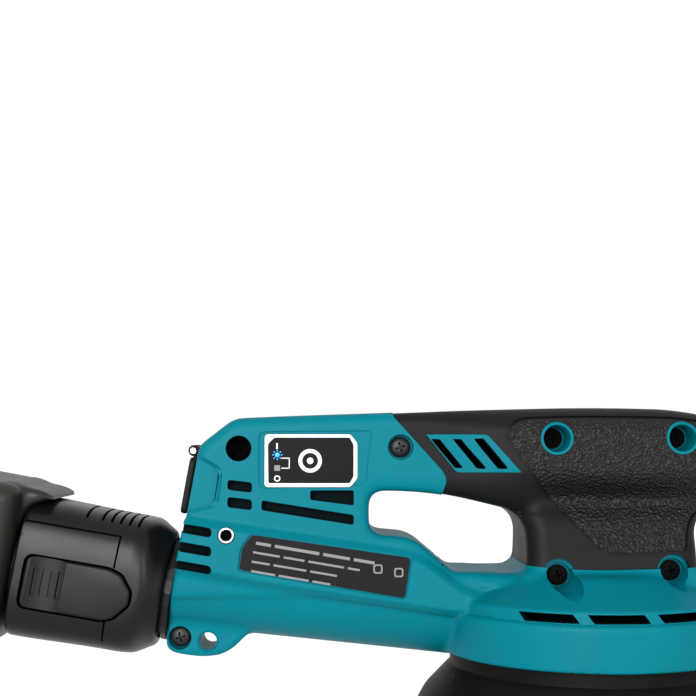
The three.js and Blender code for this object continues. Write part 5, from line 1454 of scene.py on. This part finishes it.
@dataclass
class Cuff:
    """The coupling of the dust box: a squared sleeve with grip ribs and two side latches."""

    sizes: Sizes
    radius: float = 23.0
    front: float = 3.0
    end: float = 53.5
    pocket_floor: float = 18.0

    def sleeve(self, x: Array, y: Array, z: Array) -> Array:
        """Superellipse about the outlet axis: round at the front rim, squared behind it."""
        square = 2 + 1.5 * step_up(x, 5, 16)
        around = (np.abs(y) ** square + np.abs(z * 0.985 + 0.3) ** square) ** (1 / square)
        radius = self.radius - 3.4 * step_up(x, 11, 2) + 0.6 * step_up(x, 20, 50)
        ends = np.maximum(self.front - x, x - self.end)
        return smooth_max(around - radius, ends, 2.0)

    def latch(self) -> Outline:
        """Side view of a latch button: square at the rear, a blunt hexagon at the front."""
        return Outline.rounded([(49.2, -11.7, 2.6), (49.2, 5.5, 2.6), (21.4, 5.5, 1.6), (17, 4.1, 1.2),
                                (13, -1, 1),
                                (13, -5.2, 1), (17.4, -10.4, 1.2), (20.6, -11.7, 1.4)])

    def grooves(self) -> Surface:
        """Grip grooves over the top: blocks over angle, depth and length."""
        cuts = []
        for x in (33.0, 27.6, 24.4, 21.3, 18.2, 15.1):
            a = np.linspace(-0.7, 0.7, 15) + math.pi / 2
            levels = []
            for radius, width in ((30, 0.95), (23.3, 0.95), (21.7, 0.35)):
                ring = [(x - width / 2, radius * math.cos(t), radius * math.sin(t)) for t in a]
                levels.append(ring + [(x + width / 2, radius * math.cos(t), radius * math.sin(t))
                                      for t in a[::-1]])
            cuts.append(Surface.grid(np.array(levels), slot=1))
        return Surface.joined(*cuts)

    def seams(self) -> list[Surface]:
        """Fine parting grooves around the side panels: along the top edge, down and under."""
        lines = ((19.6, 52.5, 16.2, 16.8), (19.6, 20.2, 6, 16.8), (19.6, 20.2, -30, -12))
        return [cutter for line in lines for cutter in side_plates(Outline.box(*line), 19, 40, 1)]

    def build(self) -> None:
        """Adds the sleeve and its two latch buttons."""
        outer = level_surface(self.sleeve, (1, -27, -27), (56, 27, 27), 0.9)
        bore = turned([(0.02, -2), (17.9, -2), (17.9, 4), (16.4, 6), (16.4, 27), (13.8, 27), (13.8, 60),
                       (0.02, 60)],
                      72).turned_by(ALONG_X)
        panel = Outline.box(19.9, 52.6, -20, 16.5, 1.5)
        raised = level_surface(lambda x, y, z: self.sleeve(x, y, z) - 0.35, (1, -28, -28), (56, 28, 28), 1.1)
        lifts = [combined(raised, (Join.KEEP_SHARED, lift)) for lift in side_plates(panel, 20.5, 40)]
        wells = side_plates(self.latch().offset(0.75), self.pocket_floor, 40, 1)
        limit = plate_y(Outline.box(-40, 40, -40, 40), self.front, self.end).turned_by(TO_REAR)
        body = combined(outer, *adds(*lifts), *cuts(bore, *wells, self.grooves(), *self.seams()),
                        (Join.KEEP_SHARED, limit))
        # Index 1, the grooves, seams and latch wells, takes the painted shade of groove_shadow.
        add_piece("cuff_sleeve", self.sizes.at_outlet(body), Duty("dust_box", "cuff", "black_plastic"),
                  BLACK_GLOSS, GROOVE_SHADE, sharp=28)
        for name, side in (("right", 1), ("left", -1)):
            self.build_latch(name, side)

    def build_latch(self, name: str, side: int) -> None:
        """A latch button with a thumb hollow and four finger grooves."""
        outside = 24.0
        button = plate_y(self.latch(), *sorted((side * 20.4, side * outside)), 0.9)
        hollow = turned([(0.02, -30), (19, -30), (19, 30), (0.02, 30)], 120,
                        centre=(41.5, side * (outside + 17.9)))
        grooves = [pocket(Outline.box(x, x + 0.8, -7.2, 1.6, 0.35), side * 23.2, 0.9, 0.25, 1)
                   for x in (45.2, 42.4, 39.6, 36.8)]
        made = combined(button, *cuts(hollow, *grooves))
        add_piece(f"latch_key_{name}", self.sizes.at_outlet(made),
                  Duty(f"latch_{name}", f"latch_button_{name}", "black_plastic"), BLACK_NYLON, BLACK_NYLON)


@dataclass
class DustBox:
    """The dust box with its hood, side panels, hinged lid and lid latch."""

    sizes: Sizes
    front: float = 55.0
    rear: float = 112.0
    tall: float = 28.8
    wide: float = 31.0
    wall: float = 1.8

    def outer(self, x: Array, y: Array, z: Array) -> Array:
        """Rounded box joined to the hood that reaches over the cuff."""
        h, f, r = self.tall, self.front, self.rear
        side = Outline.rounded([(f, h - 1, 5), (r - 12, h - 0.4, 20), (r + 12, h, 0), (r + 12, -h, 0),
                                (f + 7, -h, 3),
                                (f + 1.5, -h + 1.8, 3), (f, -h + 8, 4)])
        hood = Outline.rounded([(f + 6, 12, 0), (f, 14, 3), (f - 1.5, 21, 4), (f - 9, 24.6, 2),
                                (f - 11.2, 24.9, 0.6),
                                (f - 7, h - 1.7, 4), (f + 6, h - 1.4, 0)])
        main = rimmed(side.distance(x, z), np.abs(y) - self.wide, 8)
        cover = rimmed(hood.distance(x, z), np.abs(y) - self.wide + 10, 2.5)
        return smooth_min(main, cover, 3)

    def build(self) -> None:
        """Adds the box, its lid and the latch."""
        h, w, f, r, wall = self.tall, self.wide, self.front, self.rear, self.wall
        outer = level_surface(self.outer, (40, -33, -31), (r + 6, 33, 31), 1.1)
        room = plate_y(Outline.box(f + 2.5, r + 20, -h + wall + 0.5, h - wall - 0.5, 2), -w + wall,
                       w - wall, 4)
        throat = turned([(0.02, f - 20), (14, f - 20), (14, f + 5), (0.02, f + 5)], 64).turned_by(ALONG_X)
        clear = turned([(0.02, 20), (24.3, 20), (24.3, 50), (24.6, f - 0.1), (0.02, f - 0.1)],
                       80).turned_by(ALONG_X)
        behind = plate_y(Outline.box(-60, 60, -60, 60), r, r + 40).turned_by(TO_REAR)
        panel = Outline.box(f + 9, r - 6, 9 - h, h - 9, 3)
        sides = [pocket(panel, side * w, 0.7, 0.5) for side in (-1, 1)]
        ribs = [rib for z in (-12, -4, 4, 12)
                for rib in side_plates(Outline.box(f + 14, r - 11, z, z + 2.2, 0.8), w - 1.2, w - 0.1)]
        x, z = r + 2.6, h + 2.8
        ear = Outline.rounded([(r - 9, h - 1.5, 0), (r - 0.2, h - 1.5, 0), (x, z - 2.6, 1), (x + 2.6, z, 2),
                               (x, z + 2.6, 2), (x - 4, z + 1.6, 1)])
        ears = [combined(lobe, *cuts(hinge_bore(x, z))) for lobe in side_plates(ear, 14.3, 18.3)]
        body = combined(outer, *cuts(room, throat, clear, behind, *sides), *adds(*ribs, *ears))
        add_piece("box_body", self.sizes.at_outlet(body), Duty("dust_box", "box_shell", "black_plastic"),
                  BOX_NYLON, GROOVE_SHADE, sharp=30)
        self.build_lid(x, z)
        self.build_clip()

    def build_lid(self, x: float, z: float) -> None:
        """Lid plate with a shallow dish, ribs and a hinge barrel at x, z."""
        h, w, x0 = self.tall, self.wide, self.rear + 0.3
        face = plate_y(Outline.box(-w, w, -h, h - 0.4, 6), x0, x0 + 3.6, 1).turned_by(TO_REAR)
        dish = pocket(Outline.box(-w + 5, w - 5, -h + 6, h - 6, 4), x0 + 3.6, 0.8, 0.6).turned_by(TO_REAR)
        lift = plate_y(Outline.box(x0 + 0.4, x0 + 3.2, h - 2, z), -13.9, 13.9)
        ribs = [plate_y(Outline.box(y - 0.7, y + 0.7, -h + 14, h - 9, 0.5), x0 + 2,
                        x0 + 3.5).turned_by(TO_REAR)
                for y in (-18, -9, 0, 9, 18)]
        lid = combined(face, *cuts(dish), *adds(lift, hinge_barrel(x, z, 2.6, 14), *ribs),
                       *cuts(hinge_bore(x, z)))
        add_piece("lid_panel", self.sizes.at_outlet(lid), Duty("lid", "box_lid", "black_plastic"), BOX_NYLON)

    def build_clip(self) -> None:
        """The turning latch that hooks under the box, with four finger ribs."""
        h, back = self.tall, self.rear + 4.2
        clip = Outline.rounded([(self.rear - 7, -h - 3.2, 0.4), (back + 2.4, -h - 3.2, 1.6),
                                (back + 2.4, -h + 12, 0.8),
                                (back, -h + 12, 0.5), (back, -h - 1, 0.2), (self.rear - 7, -h - 1, 0.3)])
        grips = [plate_y(Outline.box(back + 2.2, back + 2.8, z - h, z - h + 1, 0.2), -6, 6)
                 for z in (3, 5.2, 7.4, 9.6)]
        add_piece("lid_clip", self.sizes.at_outlet(combined(plate_y(clip, -8, 8, 0.3), *adds(*grips))),
                  Duty("lid_latch", "lid_latch", "black_plastic"), BLACK_GLOSS)


# ---- Studio ----

# In metres and degrees: just under the abrasive, and the camera low beside the rear handle.
FLOOR_Z = -0.0005
CAMERA_PLACE = (-0.09273, -0.44976, 0.10406)
CAMERA_TURN = (94.082, 0, -0.964)
LENS_MM = 64.98
SENSOR_MM = 36


def build_studio() -> None:
    """Floor, soft lights and the camera."""
    bpy.ops.mesh.primitive_plane_add(size=60, location=(0, 0, FLOOR_Z))
    floor = bpy.context.object
    floor.name = "floor"
    paint = Finish("matt_floor", "#aaaaaa", "#acacac", 0.8, Relief.SPARK, 3.0, 0.0, glow=1.55)
    floor.data.materials.append(paint.material())
    world = bpy.data.worlds.new("studio")
    bpy.context.scene.world = world
    world.use_nodes = True
    world.node_tree.nodes["Background"].inputs["Color"].default_value = (1, 1, 1, 1)
    world.node_tree.nodes["Background"].inputs["Strength"].default_value = 1.0
    lights = (("key", (-0.45, -1.3, 0.42), (76, 0, -18), 0.8, 31.0),
              ("fill", (0.6, -1.2, 0.25), (82, 0, 26), 0.6, 7.0))
    for name, place, turn, size, power in lights:
        lamp = bpy.data.lights.new(name, "AREA")
        lamp.energy, lamp.size = power, size
        thing = bpy.data.objects.new(name, lamp)
        thing.location, thing.rotation_euler = place, [math.radians(a) for a in turn]
        bpy.context.scene.collection.objects.link(thing)
    bpy.context.scene.view_settings.view_transform = "Standard"
    camera = bpy.data.cameras.new("camera")
    camera.lens, camera.sensor_width = LENS_MM, SENSOR_MM
    camera.clip_start = 0.02
    eye = bpy.data.objects.new("camera", camera)
    eye.location, eye.rotation_euler = CAMERA_PLACE, Euler([math.radians(a) for a in CAMERA_TURN], "XYZ")
    bpy.context.scene.collection.objects.link(eye)
    bpy.context.scene.camera = eye


def main() -> None:
    """Builds every sub-assembly in order."""
    logging.basicConfig(level=logging.INFO, format="%(message)s", stream=sys.stdout)
    sizes = Sizes.of_frame()
    body = Body(sizes)
    shell = Clamshell(body)
    left, grip = shell.halves()
    trim = Trim(sizes)
    wells = [mirrored(well) for well in shell.screw_wells()]
    right = combined(mirrored(left), *cuts(*wells, *trim.cutters()))
    for side, half in (("left", left), ("right", right)):
        # Index 1 of each half, the hollow and the walls of its slots and pockets, takes the painted shade of
        # nylon_in_shadow.
        add_piece(f"shell_{side}", half, Duty("tool_body", f"housing_{side}", "teal_shell"), TEAL_NYLON,
                  INSIDE_SHADE)
    GripSkins(shell).build(grip)
    trim.build()
    ScrewSet().build()
    Controls(sizes).build()
    InletCap(sizes).build()
    PadStack(sizes).build()
    Cuff(sizes).build()
    DustBox(sizes).build()
    dress_kept_nodes()
    build_studio()
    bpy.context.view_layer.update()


if __name__ == "__main__":
    main()
